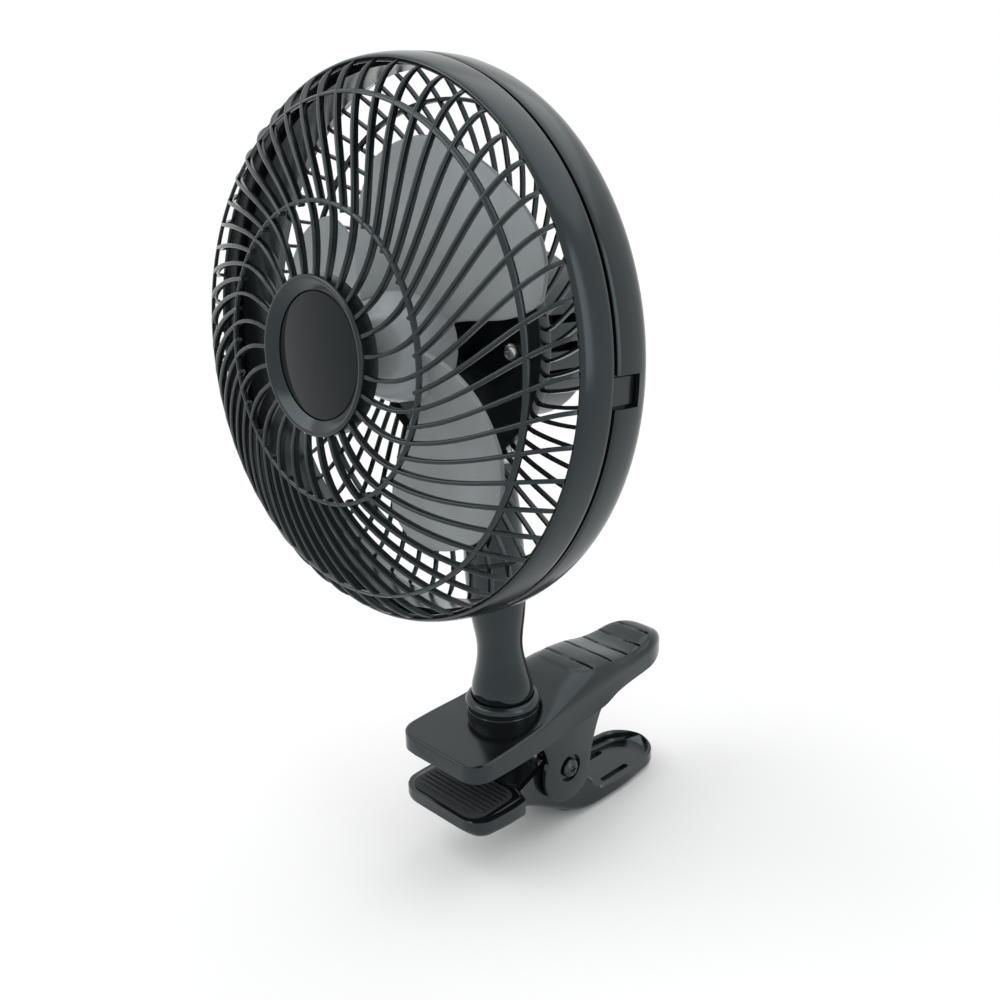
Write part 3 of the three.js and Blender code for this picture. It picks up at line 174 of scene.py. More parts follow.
def through(points):
    """A smooth value along a line, through (place, value) pairs."""
    last = len(points) - 1
    slopes = []
    for i in range(len(points)):
        before, after = points[max(i - 1, 0)], points[min(i + 1, last)]
        slopes.append((after[1] - before[1]) / (after[0] - before[0]))

    def value(place):
        i = 0
        while i < last - 1 and place > points[i + 1][0]:
            i += 1
        (start, low), (end, high) = points[i], points[i + 1]
        span = end - start
        t = min(max((place - start) / span, 0.0), 1.0)
        ease = t * t * (3 - 2 * t)
        leave = t * (1 - t) ** 2 * span * slopes[i]
        arrive = t * t * (t - 1) * span * slopes[i + 1]
        return low + (high - low) * ease + leave + arrive

    return value


def edit(obj):
    bpy.ops.object.select_all(action="DESELECT")
    bpy.context.view_layer.objects.active = obj
    obj.select_set(True)
    bpy.ops.object.mode_set(mode="EDIT")
    bpy.ops.mesh.select_all(action="SELECT")


def close_up(obj, merge=1e-4):
    """Merges seams, fills open ends and turns the faces outwards."""
    edit(obj)
    bpy.ops.mesh.remove_doubles(threshold=merge)
    bpy.ops.mesh.select_all(action="SELECT")
    bpy.ops.mesh.fill_holes(sides=0)
    bpy.ops.mesh.select_all(action="SELECT")
    bpy.ops.mesh.normals_make_consistent(inside=False)
    bpy.ops.object.mode_set(mode="OBJECT")


def skinned(name, along, around, place):
    """A tube-like skin: a grid whose corners are placed by their shares along and around.

    The last column takes the place of the first, so that the seam can be merged.
    """
    bpy.ops.object.select_all(action="DESELECT")
    bpy.ops.mesh.primitive_grid_add(x_subdivisions=along, y_subdivisions=around, size=1)
    obj = bpy.context.object
    obj.name = obj.data.name = name
    for corner in obj.data.vertices:
        around_share = corner.co.y + 0.5
        corner.co = place(corner.co.x + 0.5, around_share if around_share < 0.9999 else 0.0)
    close_up(obj)
    return obj


def plate(name, outline, depth):
    """A flat plate with the outline's corners, thickened along a vector."""
    bpy.ops.object.select_all(action="DESELECT")
    bpy.ops.mesh.primitive_circle_add(vertices=len(outline), fill_type="NGON")
    obj = bpy.context.object
    obj.name = obj.data.name = name
    for corner, place in zip(obj.data.vertices, outline):
        corner.co = place
    edit(obj)
    bpy.ops.mesh.extrude_region_move(TRANSFORM_OT_translate={"value": depth})
    bpy.ops.object.mode_set(mode="OBJECT")
    close_up(obj)
    return obj


def arc(centre, radius, start, end, steps):
    """Points along an arc, angles in degrees."""
    points = []
    for i in range(steps + 1):
        angle = radians(start + (end - start) * i / steps)
        points.append((centre[0] + radius * cos(angle), centre[1] + radius * sin(angle)))
    return points


def modify(obj, kind, **settings):
    modifier = obj.modifiers.new(kind.lower(), kind)
    for key, value in settings.items():
        setattr(modifier, key, value)
    bpy.ops.object.select_all(action="DESELECT")
    bpy.context.view_layer.objects.active = obj
    obj.select_set(True)
    bpy.ops.object.modifier_apply(modifier=modifier.name)


def soften(obj, width, segments=2, angle=35):
    modify(obj, "BEVEL", width=width, segments=segments, limit_method="ANGLE",
           angle_limit=radians(angle), use_clamp_overlap=True)


def cut(obj, tool):
    modify(obj, "BOOLEAN", object=tool, operation="DIFFERENCE", solver="EXACT")
    bpy.data.objects.remove(tool, do_unlink=True)


def rod(name, radius, start, end, sides=48):
    """A round bar between two points."""
    start, end = Vector(start), Vector(end)
    bpy.ops.object.select_all(action="DESELECT")
    bpy.ops.mesh.primitive_cylinder_add(vertices=sides, radius=radius, depth=(end - start).length)
    obj = bpy.context.object
    obj.name = obj.data.name = name
    aim = (end - start).to_track_quat("Z", "Y").to_matrix().to_4x4()
    obj.data.transform(Matrix.Translation((start + end) / 2) @ aim)
    return obj


def join(name, objs):
    bpy.ops.object.select_all(action="DESELECT")
    for obj in objs:
        obj.select_set(True)
    bpy.context.view_layer.objects.active = objs[0]
    if len(objs) > 1:
        bpy.ops.object.join()
    objs[0].name = objs[0].data.name = name
    return objs[0]


def finish_piece(obj, body, material, node, matrix=Matrix.Identity(4), angle=32):
    """Brings a piece to metres and its place, shades it and hands it to its body."""
    obj.data.transform(matrix @ Matrix.Scale(mm, 4))
    obj.data.update()
    bpy.ops.object.select_all(action="DESELECT")
    bpy.context.view_layer.objects.active = obj
    obj.select_set(True)
    bpy.ops.object.shade_smooth_by_angle(angle=radians(angle))
    obj.data.materials.clear()
    obj.data.materials.append(material)
    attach(obj, body)
    if node:
        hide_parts(*node)


def streaked(name, tones, smooth, rough, strength, depth):
    """A material whose tone and roughness follow one noise. Returns it and what is built on."""
    material = bpy.data.materials.new(name)
    material.use_nodes = True
    new, link = material.node_tree.nodes.new, material.node_tree.links.new
    shader = material.node_tree.nodes["Principled BSDF"]
    place = new("ShaderNodeTexCoord")
    noise = new("ShaderNodeTexNoise")
    tone = new("ShaderNodeValToRGB")
    for stop, (position, colour) in zip(tone.color_ramp.elements, tones):
        stop.position, stop.color = position, (*colour, 1)
    shine = new("ShaderNodeMapRange")
    shine.inputs["To Min"].default_value, shine.inputs["To Max"].default_value = smooth, rough
    relief = new("ShaderNodeBump")
    relief.inputs["Strength"].default_value = strength
    relief.inputs["Distance"].default_value = depth
    link(noise.outputs["Fac"], tone.inputs["Fac"])
    link(tone.outputs["Color"], shader.inputs["Base Color"])
    link(noise.outputs["Fac"], shine.inputs["Value"])
    link(shine.outputs["Result"], shader.inputs["Roughness"])
    link(relief.outputs["Normal"], shader.inputs["Normal"])
    return material, new, link, shader, place.outputs["Object"], noise, relief


def moulded(name, colour, roughness, grain, depth, spread=0.06):
    """Moulded plastic: faint tone drift, a fine skin and a slightly uneven, cool shine."""
    tones = (0.3, [part * 0.8 for part in colour]), (0.75, [part * 1.18 for part in colour])
    material, new, link, shader, place, drift, relief = streaked(
        name, tones, max(roughness - spread, 0.02), roughness + spread, 0.5, depth)
    skin = new("ShaderNodeTexNoise")
    for noise, scale, detail in ((drift, 26.0, 4.0), (skin, grain, 3.0)):
        noise.inputs["Scale"].default_value = scale
        noise.inputs["Detail"].default_value = detail
        link(place, noise.inputs["Vector"])
    link(skin.outputs["Fac"], relief.inputs["Height"])
    shader.inputs["Specular Tint"].default_value = (0.78, 0.95, 1.0, 1)
    return material


jaw_plastic = moulded("jaw_plastic", (0.006, 0.0065, 0.007), 0.16, 700.0, 0.000012, 0.05)

# Along y: half width, height of the crown, of the side edge and of the open underside, how
# square the section is, how open its inside is, and how far the lower edge flares out.
upper_half = through([
    (nose_y, jaw_half), (0, jaw_half), (neck_y, 20.9), (pivot_y, 19.4), (54, 18.0),
    (77, 15.6), (handle_end_y, 12.0)])
upper_top = through([
    (nose_y, 7.4), (0, 8.6), (neck_y, 10.2), (32, 14.2), (42, 17.3), (52, 18.9),
    (63, 18.4), (77, 15.7), (86, 15.7), (95, 17.2), (102, 16.2), (handle_end_y, 12.6)])
upper_edge = through([
    (nose_y, 6.4), (0, 7.3), (neck_y, 8.2), (pivot_y, 9.2), (90, 10.5), (handle_end_y, 11.2)])
upper_bottom = through([
    (nose_y, 0.6), (pivot_y - 6, 0.6), (56, 2.6), (67, 4.6), (90, 5.2), (101, 7.4),
    (handle_end_y, 10.4)])
upper_square = through([
    (nose_y, 14), (neck_y, 8), (pivot_y, 3.6), (58, 2.9), (72, 3.6), (95, 3.6), (handle_end_y, 2.8)])
hollow = through([(nose_y, 0), (31.5, 0), (34.5, 1), (handle_end_y, 1)])
side_flare = through([
    (nose_y, 0), (30, 0), (40, 0.25), (50, 0.55), (58, 0.9), (66, 0.5), (78, 0.0),
    (handle_end_y, 0)])
groove_ys, groove_half, groove_deep, groove_bow = [53.3, 64.3, 75.7, 85.3, 94.6], 0.5, 1.05, 0.012
thumb_y, thumb_half_long, thumb_wide_share, thumb_rise = 74.5, 27.5, 0.84, 0.35
handle_turn, least_share = 18.0, 0.0004
bead_end_y, bead_share, bead_half, bead_rise = 22, 0.955, 0.02, 0.3


def nose_rounding(y):
    """How much a jaw's half width gives way to the round corners of its nose."""
    rest = nose_corner - (y - nose_y)
    return nose_corner - sqrt(max(0.0, nose_corner ** 2 - rest * rest)) if rest > 0 else 0.0


def jaw_half_at(y):
    from_turn = max(0.0, (y - (handle_end_y - handle_turn)) / handle_turn)
    share = sqrt(max(least_share, 1 - from_turn * from_turn))
    return (upper_half(y) - nose_rounding(y)) * share


def thumb_relief(x, y):
    """The oval thumb pad stands a little proud and its five grooves are cut across it."""
    along = abs(y - thumb_y) / thumb_half_long
    across = abs(x) / (thumb_wide_share * jaw_half_at(y))
    inside = min(along ** 4 + across ** 4, 2.0)
    rise = thumb_rise / (1 + exp((inside - 0.94) * 22))
    groove = 0.0
    if inside < 1.0:
        for centre in groove_ys:
            off = (y - centre - groove_bow * x * x) / groove_half
            groove = max(groove, exp(-off * off))
        groove *= 1 / (1 + exp((inside - 0.8) * 26))
    return rise - groove_deep * groove


# Rows of corners along the jaw: close together round the nose, over the grooves and at the end.
rows_turn_y = 88.0
jaw_rows = [nose_y + nose_corner * share for share in (0, 0.02, 0.06, 0.12, 0.2, 0.32, 0.5, 0.75)]
jaw_rows += [nose_y + nose_corner + 1.5 * i for i in range(35)]
while jaw_rows[-1] < rows_turn_y:
    jaw_rows.append(jaw_rows[-1] + 0.32)
jaw_rows += [rows_turn_y + (handle_end_y - rows_turn_y) * sin(pi / 2 * i / 72)
             for i in range(1, 73)]


def jaw_corner(u, v):
    """Outside over the crown for the first share around, inside back for the rest.

    A fine bead stands along each side of the nose.
    """
    y = jaw_rows[round(u * (len(jaw_rows) - 1))]
    half, edge, top, bottom = jaw_half_at(y), upper_edge(y), upper_top(y), upper_bottom(y)
    front = max(0.0, 1.0 - (y - nose_y))
    edge -= 1.0 - sqrt(max(0.0, 1 - front * front))
    top -= 1.0 - sqrt(max(0.0, 1 - front * front))
    power = 2.0 / upper_square(y)
    open_share = hollow(y)
    if v <= 0.7:
        t = v / 0.7
        if t < 0.1 or t > 0.9:
            up = min(t, 1 - t) / 0.1
            wide = half + side_flare(y) * (1 - up) ** 1.5
            return (wide if t < 0.5 else -wide, y, bottom + (edge - bottom) * up)
        angle = pi * (t - 0.1) / 0.8
        x = half * abs(cos(angle)) ** power * (1 if cos(angle) > 0 else -1)
        z = edge + (top - edge) * sin(angle) ** power
        z += thumb_relief(x, y)
        if y < bead_end_y:
            near = (abs(x) / half - bead_share) / bead_half
            z += bead_rise * exp(-near * near) * min(1.0, (bead_end_y - y) / 4.0)
        return (x, y, z)
    t = (v - 0.7) / 0.3
    wall = wall_thick * min(1.0, half / 6.0)
    inner_half = half - wall
    inner_edge = bottom + (edge - wall - bottom) * open_share
    inner_top = bottom + (top - wall - bottom) * open_share
    inner_edge = max(inner_edge, bottom)
    inner_top = max(inner_top, inner_edge)
    if t < 0.15:
        return (-inner_half, y, bottom + (inner_edge - bottom) * t / 0.15)
    if t > 0.85:
        return (inner_half, y, inner_edge + (bottom - inner_edge) * (t - 0.85) / 0.15)
    angle = pi - pi * (t - 0.15) / 0.7
    x = inner_half * abs(cos(angle)) ** power * (1 if cos(angle) > 0 else -1)
    return (x, y, inner_edge + (inner_top - inner_edge) * sin(angle) ** power)


jaw_shell = skinned("jaw_shell", len(jaw_rows) - 1, 240, jaw_corner)


def bend(start, control, end, steps):
    """Points along a quadratic curve, without its start."""
    points = []
    for i in range(1, steps + 1):
        t = i / steps
        points.append(tuple((1 - t) ** 2 * p + 2 * t * (1 - t) * q + t * t * r
                            for p, q, r in zip(start, control, end)))
    return points


def cross_rod(name, radius, start_x, end_x):
    """A rod along the pivot's axis."""
    return rod(name, radius, (start_x, pivot_y, pivot_z), (end_x, pivot_y, pivot_z))


# Side view of a cheek in y and z: down from the jaw, round about the pivot and up again.
cheek_start, cheek_round = (16.0, 4.0), 14.0
cheek_neck = (pivot_y + cheek_round * cos(radians(150)), -9.5)
cheek_side = [cheek_start, *bend(cheek_start, (22.5, -1.0), cheek_neck, 9)[:-1]]
cheek_side += arc((pivot_y, pivot_z), cheek_round, 150, 322, 40)
cheek_side += bend(cheek_side[-1], (48.5, -6.0), (60.0, 6.4), 12)
cheek_side += [(54.0, 7.6), (cheek_start[0], 6.0)]
tuck, tuck_start_y, tuck_long = 0.9, 47.0, 8.0

cheeks = []
for side in (1, -1):
    outer = side * cheek_half
    corners = [(outer - side * wall_thick, y, z) for y, z in cheek_side]
    cheek = plate("cheek", corners, (side * wall_thick, 0, 0))
    for corner in cheek.data.vertices:
        tuck_share = min(max((corner.co.y - tuck_start_y) / tuck_long, 0.0), 1.0)
        corner.co.x -= side * tuck * tuck_share
    soften(cheek, 0.5, 3)
    cut(cheek, cross_rod("recess", pivot_recess, outer - side * recess_deep, outer + side * 3))
    cut(cheek, cross_rod("bore", pivot_bore, outer - side * 4, outer + side * 4))
    cheeks.append(cheek)


y_axis, z_axis = (0, 1, 0), (0, 0, 1)


def turned(name, outline, sides=96, axis=z_axis):
    """A body of revolution: a profile of (radius, along) points spun about an axis."""
    bpy.ops.object.select_all(action="DESELECT")
    bpy.ops.mesh.primitive_circle_add(vertices=len(outline), fill_type="NOTHING")
    obj = bpy.context.object
    obj.name = obj.data.name = name
    for corner, (radius, along) in zip(obj.data.vertices, outline):
        corner.co = (radius, 0, along) if axis == z_axis else (radius, along, 0)
    edit(obj)
    bpy.ops.mesh.spin(steps=sides, angle=2 * pi, center=(0, 0, 0), axis=axis)
    bpy.ops.object.mode_set(mode="OBJECT")
    close_up(obj, 2e-3)
    return obj


collar_seat = turned("collar_seat", [
    (6.2, 6.5), (13.9, 6.5), (13.9, 12.2), (13.7, 12.5), (13.2, 12.6), (13.2, 13.9),
    (12.9, 14.2), (6.2, 14.2)])
collar_seat.data.transform(Matrix.Translation((0, neck_y, 0)))
upper_jaw = join("clip_upper_moulding", [jaw_shell, collar_seat, *cheeks])
finish_piece(upper_jaw, "clip", jaw_plastic, ["upper_jaw"])

# ---------------------------------------------------------------- gripping pads
# Two black rubber pads let into the jaws, so that only their fine cross ribs stand out.
pad_rubber = moulded("pad_rubber", (0.02, 0.02, 0.021), 0.75, 1500.0, 0.00005)


def round_corners(half_wide, low, high, radius, steps=8):
    points = arc((half_wide - radius, high - radius), radius, 0, 90, steps)
    points += arc((radius - half_wide, high - radius), radius, 90, 180, steps)
    points += arc((radius - half_wide, low + radius), radius, 180, 270, steps)
    points += arc((half_wide - radius, low + radius), radius, 270, 360, steps)
    return points


pad_thick, gripped = 2.6, 14.0
ridge_count, ridge_start_y, ridge_pitch, ridge_wide = 9, -13.2, 2.25, 1.3
for name, node, body, base, rise in (
        ("upper_grip_pad", "upper_pad", "clip", pad_thick, -pad_thick),
        ("lower_grip_pad", "lower_pad", "lower_clip", -gripped - pad_thick, pad_thick)):
    corners = [(x, y, base) for x, y in round_corners(18.5, -15.8, 7.2, 6.0)]
    pad = plate(name, corners, (0, 0, rise * 0.72))
    ridges = []
    for i in range(ridge_count):
        y = ridge_start_y + ridge_pitch * i
        half = 17.2 if 0 < i < ridge_count - 1 else 14.5
        strip = [(x, along, base + rise * 0.7) for x, along in (
            (half, y), (half, y + ridge_wide), (-half, y + ridge_wide), (-half, y))]
        ridge = plate("ridge", strip, (0, 0, rise * 0.3))
        soften(ridge, 0.2, 2)
        ridges.append(ridge)
    soften(pad, 0.3)
    pad = join(name, [pad, *ridges])
    finish_piece(pad, body, pad_rubber, [node])

# ---------------------------------------------------------------- lower jaw and handle
# The second moulding: a plate under the gripped edge, two ears on the pivot screw and a
# shallow trough of a handle with two slots in its floor.
lower_end_y, lower_turn = 101.6, 12.0
lowest_z, trough_floor, trough_corner = -44.2, 2.6, 1.6
slot_x, slot_start_y, slot_end_y, slot_half = 7.4, 68.6, 82.6, 1.3
lower_half = through([
    (nose_y, jaw_half), (7.5, jaw_half), (10.8, 15.9), (60, 15.9), (74, 15.5), (84, 14.2), (95, 12.6),
    (lower_end_y, 11.0)])
lower_bottom = through([
    (nose_y, -20.5), (nose_y + 3, -22.3), (-8, -22.6), (8.8, -23.8), (20, -28.6), (34, -36.7),
    (46, -42.6), (58, lowest_z), (92, lowest_z), (98, -43.6), (lower_end_y, -40.6)])
lower_rim = through([
    (nose_y, -15.6), (8, -15.6), (12, -15.6), (30, -9.6), (36, -8.0), (41.5, -9.9), (44.5, -15.5),
    (48, -25.5), (53, -33.2), (60, -37.4), (lower_end_y, -37.4)])
trough = through([(nose_y, 0), (10.5, 0), (12.5, 1), (lower_end_y, 1)])


def lower_half_at(y):
    from_turn = max(0.0, (y - (lower_end_y - lower_turn)) / lower_turn)
    return (lower_half(y) - nose_rounding(y)) * sqrt(max(least_share, 1 - from_turn ** 2.4))


lower_rows = [nose_y + nose_corner * share for share in (0, 0.03, 0.1, 0.2, 0.35, 0.6)]
while lower_rows[-1] < rows_turn_y:
    lower_rows.append(lower_rows[-1] + 1.0)
lower_rows += [rows_turn_y + (lower_end_y - rows_turn_y) * sin(pi / 2 * i / 24)
               for i in range(1, 25)]


def lower_corner(u, v):
    """Down one side, across the underside and up the other, then back through the trough."""
    y = lower_rows[round(u * (len(lower_rows) - 1))]
    half, bottom, rim = lower_half_at(y), max(lower_bottom(y), lowest_z), lower_rim(y)
    wall = wall_thick * min(1.0, half / 5.0)
    floor_z = rim + (min(bottom + trough_floor, rim) - rim) * trough(y)
    round_off = min(2.4, (rim - bottom) * 0.45)
    if v < 0.55:
        t = v / 0.55
        if t < 0.25:
            return (half, y, rim - 0.25 + (bottom + round_off - rim) * t / 0.25)
        if t < 0.5:
            angle = pi / 2 * (t - 0.25) / 0.25
            start = half - round_off
            if angle < pi / 4:
                angle *= 2
                return (start + round_off * cos(angle), y, bottom + round_off * (1 - sin(angle)))
            return (start * (1 - (angle - pi / 4) / (pi / 4)), y, bottom)
        if t < 0.75:
            angle = pi / 2 * (t - 0.5) / 0.25
            start = half - round_off
            if angle < pi / 4:
                return (-start * angle / (pi / 4), y, bottom)
            angle = pi / 2 - (angle - pi / 4) * 2
            return (-start - round_off * cos(angle), y, bottom + round_off * (1 - sin(angle)))
        rise = (rim - 0.25 - bottom - round_off) * (t - 0.75) / 0.25
        return (-half, y, bottom + round_off + rise)
    t = (v - 0.55) / 0.45
    inner = half - wall
    if t < 0.08:
        return (-half + 0.3 + (wall - 0.6) * t / 0.08, y, rim)
    if t > 0.92:
        return (inner + 0.3 + (wall - 0.6) * (t - 0.92) / 0.08, y, rim)
    t = (t - 0.08) / 0.84
    ease = min(1.0, min(t, 1 - t) / 0.14)
    if ease < 1.0:
        angle = pi / 2 * ease
        x = inner - trough_corner * (1 - cos(angle))
        return (-x if t < 0.5 else x, y, rim + (floor_z - rim) * sin(angle))
    flat = inner - trough_corner
    return (-flat + 2 * flat * (t - 0.14) / 0.72, y, floor_z)


lower_jaw = skinned("lower_jaw_shell", len(lower_rows) - 1, 120, lower_corner)
for side in (1, -1):
    slot_points = arc((side * slot_x, slot_start_y), slot_half, 180, 360, 10)
    slot_points += arc((side * slot_x, slot_end_y), slot_half, 0, 180, 10)
    cut(lower_jaw, plate("slot", [(x, y, -46.0) for x, y in slot_points], (0, 0, 8)))
cut(lower_jaw, cross_rod("bore", pivot_bore, -20, 20))
lower_jaw = join("clip_lower_moulding", [lower_jaw])
finish_piece(lower_jaw, "lower_clip", jaw_plastic, ["lower_jaw"])

# ---------------------------------------------------------------- pivot screw, nut and spring
# A blackened cross-head screw joins the cheeks through the ears; a hexagon nut holds it,
# and a steel torsion spring wound round it spreads the handles.


def metal(name, colour, roughness, stretch=(1.0, 1.0, 12.0), scale=600.0):
    """Bare or plated metal with fine drawn marks and an uneven shine."""
    tones = (0.0, [part * 0.78 for part in colour]), (1.0, [min(part * 1.15, 1) for part in colour])
    material, new, link, shader, place, marks, relief = streaked(
        name, tones, max(roughness - 0.1, 0.05), roughness + 0.12, 0.4, 0.00002)
    shader.inputs["Metallic"].default_value = 1.0
    stretched = new("ShaderNodeMapping")
    stretched.inputs["Scale"].default_value = stretch
    marks.inputs["Scale"].default_value = scale
    marks.inputs["Detail"].default_value = 5.0
    link(place, stretched.inputs["Vector"])
    link(stretched.outputs["Vector"], marks.inputs["Vector"])
    link(marks.outputs["Fac"], relief.inputs["Height"])
    return material


black_screw = metal("black_screw", (0.06, 0.06, 0.065), 0.32)
bright_steel = metal("bright_steel", (0.66, 0.66, 0.67), 0.26)
zinc_steel = metal("zinc_steel", (0.5, 0.5, 0.5), 0.36)


def cross_screw(name, head, shank, height, start, seat, axis, recess):
    """A pan-head screw with a cross recess. Along is measured from start to seat."""
    outline = [(0.0, start), (shank * 0.8, start), (shank, start + 0.5), (shank, seat), (head, seat)]
    for i in range(8):
        angle = pi / 2 * i / 8
        outline.append((head * cos(angle) * 0.98, seat + height * (0.25 + 0.75 * sin(angle))))
    outline.append((0.0, seat + height))
    screw = turned(name, outline, 48, axis)
    wide, long, deep = recess * 0.3, recess * 2.0, recess * 1.3
    for x, up in ((long, wide), (wide, long)):
        bpy.ops.object.select_all(action="DESELECT")
        bpy.ops.mesh.primitive_cube_add(size=1)
        key = bpy.context.object
        size = (x, deep, up) if axis == y_axis else (x, up, deep)
        top = Matrix.Translation(Vector(axis) * (seat + height))
        key.data.transform(top @ Matrix.Diagonal((*size, 1)))
        cut(screw, key)
    return screw


z_to_x = Matrix(((0, 0, 1, 0), (1, 0, 0, 0), (0, 1, 0, 0), (0, 0, 0, 1)))
pivot = cross_screw("pivot_screw_head", head=3.9, shank=2.5, height=3.0, start=-18.9, seat=17.5,
                    axis=z_axis, recess=1.7)
finish_piece(pivot, "clip", black_screw, ["pivot_screw"],
             Matrix.Translation((0, pivot_y * mm, pivot_z * mm)) @ z_to_x)



def hex_nut(name, radius, face_x, thick):
    """A nut on the x axis, from its face out towards -x."""
    nut = plate(name, [(face_x, y, z) for y, z in arc((0, 0), radius, 0, 300, 5)], (-thick, 0, 0))
    soften(nut, 0.3)
    return nut


finish_piece(hex_nut("pivot_hex_nut", 4.2, -17.9, 2.8), "clip", zinc_steel,
             ["pivot_nut"], Matrix.Translation((0, pivot_y * mm, pivot_z * mm)))

spring_wire, spring_radius, spring_turns, spring_pitch = 0.9, 5.4, 5, 2.5
seat_y = neck_y + 44.0
upper_seat = upper_top(seat_y) - wall_thick - spring_wire - 0.7
lower_seat = lowest_z + trough_floor + spring_wire + 0.3


def leg_angle(z, side):
    """Where round the coil a straight leg to the seat at this height leaves it."""
    away = hypot(seat_y - pivot_y, z - pivot_z)
    tangent = pi / 2 - atan2(spring_radius, sqrt(away ** 2 - spring_radius ** 2))
    return atan2(z - pivot_z, seat_y - pivot_y) + side * tangent


def wire(name, points, radius):
    """A wire along points, as a curve brought to a mesh."""
    data = bpy.data.curves.new(name, "CURVE")
    data.dimensions = "3D"
    data.bevel_depth = radius
    data.bevel_resolution = 3
    data.use_fill_caps = True
    spline = data.splines.new("POLY")
    spline.points.add(len(points) - 1)
    for point, place in zip(spline.points, points):
        point.co = (*place, 1)
    obj = bpy.data.objects.new(name, data)
    bpy.context.collection.objects.link(obj)
    bpy.ops.object.select_all(action="DESELECT")
    bpy.context.view_layer.objects.active = obj
    obj.select_set(True)
    bpy.ops.object.convert(target="MESH")
    return bpy.context.object


first, last = leg_angle(upper_seat, 1), leg_angle(lower_seat, -1)
sweep = first - last + 2 * pi * (spring_turns - 1)
half_coil, coil_steps, leg_steps = spring_turns * spring_pitch / 2, 160, 4
coil = [(-half_coil, seat_y, upper_seat)]
for i in range(coil_steps + 1):
    angle = first + sweep * i / coil_steps
    coil.append((-half_coil + 2 * half_coil * i / coil_steps,
                 pivot_y + spring_radius * cos(angle), pivot_z + spring_radius * sin(angle)))
spring = wire("clip_spring_coil", coil, spring_wire)
finish_piece(spring, "clip", zinc_steel, ["clip_spring"])
leg = wire("clip_spring_leg", coil[-leg_steps:] + [(half_coil, seat_y, lower_seat)], spring_wire)
finish_piece(leg, "lower_clip", zinc_steel, None)

# ---------------------------------------------------------------- collar ring and neck
# The neck is one very glossy post, waisted above its foot, that leans a little towards the
# front. It turns on the clip inside a separate ring, and a screw and a washer hold it below.
neck_plastic = moulded("neck_plastic", (0.0055, 0.006, 0.0065), 0.07, 260.0, 0.00003, 0.03)
ring_plastic = moulded("ring_plastic", (0.012, 0.013, 0.015), 0.2, 500.0, 0.00001, 0.04)

swivel_ring = turned("collar_ring", [
    (12.2, 14.5), (14.2, 14.5), (14.45, 14.8), (14.4, 15.6), (14.0, 16.4), (13.3, 17.1), (12.8, 17.3),
    (12.2, 17.3)])
swivel_ring.data.transform(Matrix.Translation((0, neck_y, 0)))
finish_piece(swivel_ring, "clip", ring_plastic, ["swivel_ring"])

neck_radius = through([
    (14.5, 11.1), (19.5, 11.9), (23, 11.4), (27.2, 10.3), (31.6, 9.35), (35.5, 8.85), (39.5, 8.75),
    (44, 9.2), (48, 9.8), (53, 10.5), (60, 11.1), (72, 11.3), (86, 10.9), (100, 9.9), (108.3, 7.8)])
neck_foot, neck_top, neck_crown, crown_round = 14.5, 108.3, 106.6, 1.6
neck_lean, lean_start, stub_radius, stub_end = 0.045, 19.5, 6.0, 14.45
tilt_z = 118.0
tilt_y = neck_y - neck_lean * (tilt_z - 14.2)
neck_rows = [3.9, stub_end, neck_foot]
neck_rows += [neck_foot + 1.2 * i for i in range(1, 78)] + [neck_top]


def neck_corner(u, v):
    z = neck_rows[round(u * (len(neck_rows) - 1))]
    angle = 2 * pi * v
    radius = stub_radius if z <= stub_end else neck_radius(z)
    if z > neck_crown:
        fade = (z - neck_crown) / (neck_top - neck_crown)
        radius = neck_radius(neck_crown) - crown_round * (1 - sqrt(max(0, 1 - fade * fade)))
    centre = neck_y - neck_lean * max(0.0, z - lean_start)
    return (radius * cos(angle), centre + radius * sin(angle), z)


neck = skinned("neck_post_body", len(neck_rows) - 1, 72, neck_corner)
tongue_radius, tongue_half, tongue_foot, tilt_bore = 8.5, 5.2, 103.0, 2.6
tongue_points = arc((tilt_y, tilt_z), tongue_radius, 0, 180, 32)
tongue_points += [(tilt_y - tongue_radius, tongue_foot), (tilt_y + tongue_radius, tongue_foot)]
tongue = plate("tongue", [(-tongue_half, y, z) for y, z in tongue_points], (2 * tongue_half, 0, 0))
soften(tongue, 0.5, 3)
cut(tongue, rod("bore", tilt_bore, (-8, tilt_y, tilt_z), (8, tilt_y, tilt_z)))
neck = join("neck_post_moulding", [neck, tongue])
finish_piece(neck, "neck", neck_plastic, ["neck_post"])

# ---------------------------------------------------------------- front guard
# A domed black grille moulded in one piece: rim, two hoops, 27 ribs from the badge cup and
# 27 more from the inner hoop, all of which run to the rim and lean the same way.
guard_plastic = moulded("guard_plastic", (0.006, 0.0066, 0.0072), 0.2, 420.0, 0.000015, 0.06)
tilt_behind, tilt_below = 39.4, 39.2
tilt_place = (Matrix.Translation((0, tilt_y * mm, tilt_z * mm))
              @ Matrix.Rotation(radians(-4.9), 4, "X"))
head = tilt_place @ Matrix.Translation((0, -tilt_behind * mm, tilt_below * mm))
rim_radius, rim_front_radius = 90.4, 88.1
inner_hoop, outer_hoop, badge_ring = 46.3, 77.7, 24.9
rib_count = 54
rib_phase, inner_sweep, front_sweep, rear_sweep = 16.0, 7.8, 21.3, 19.0
front_dome, rear_dome = 37.0, 25.6


def front_surface(radius):
    """How far the dome stands ahead of the parting plane at a distance from the axis."""
    return front_dome * (1 - (radius / rim_radius) ** 2.5) ** 0.41


def front_angle(radius):
    """Where a rib is round the axis, in degrees, at a distance from it."""
    if radius < inner_hoop:
        share = (radius - badge_ring) / (inner_hoop - badge_ring)
        return rib_phase - inner_sweep + inner_sweep * share * abs(share)
    share = min(1.0, (radius - inner_hoop) / (rim_front_radius - inner_hoop))
    return rib_phase + front_sweep * (1 - (1 - share) ** 1.4)


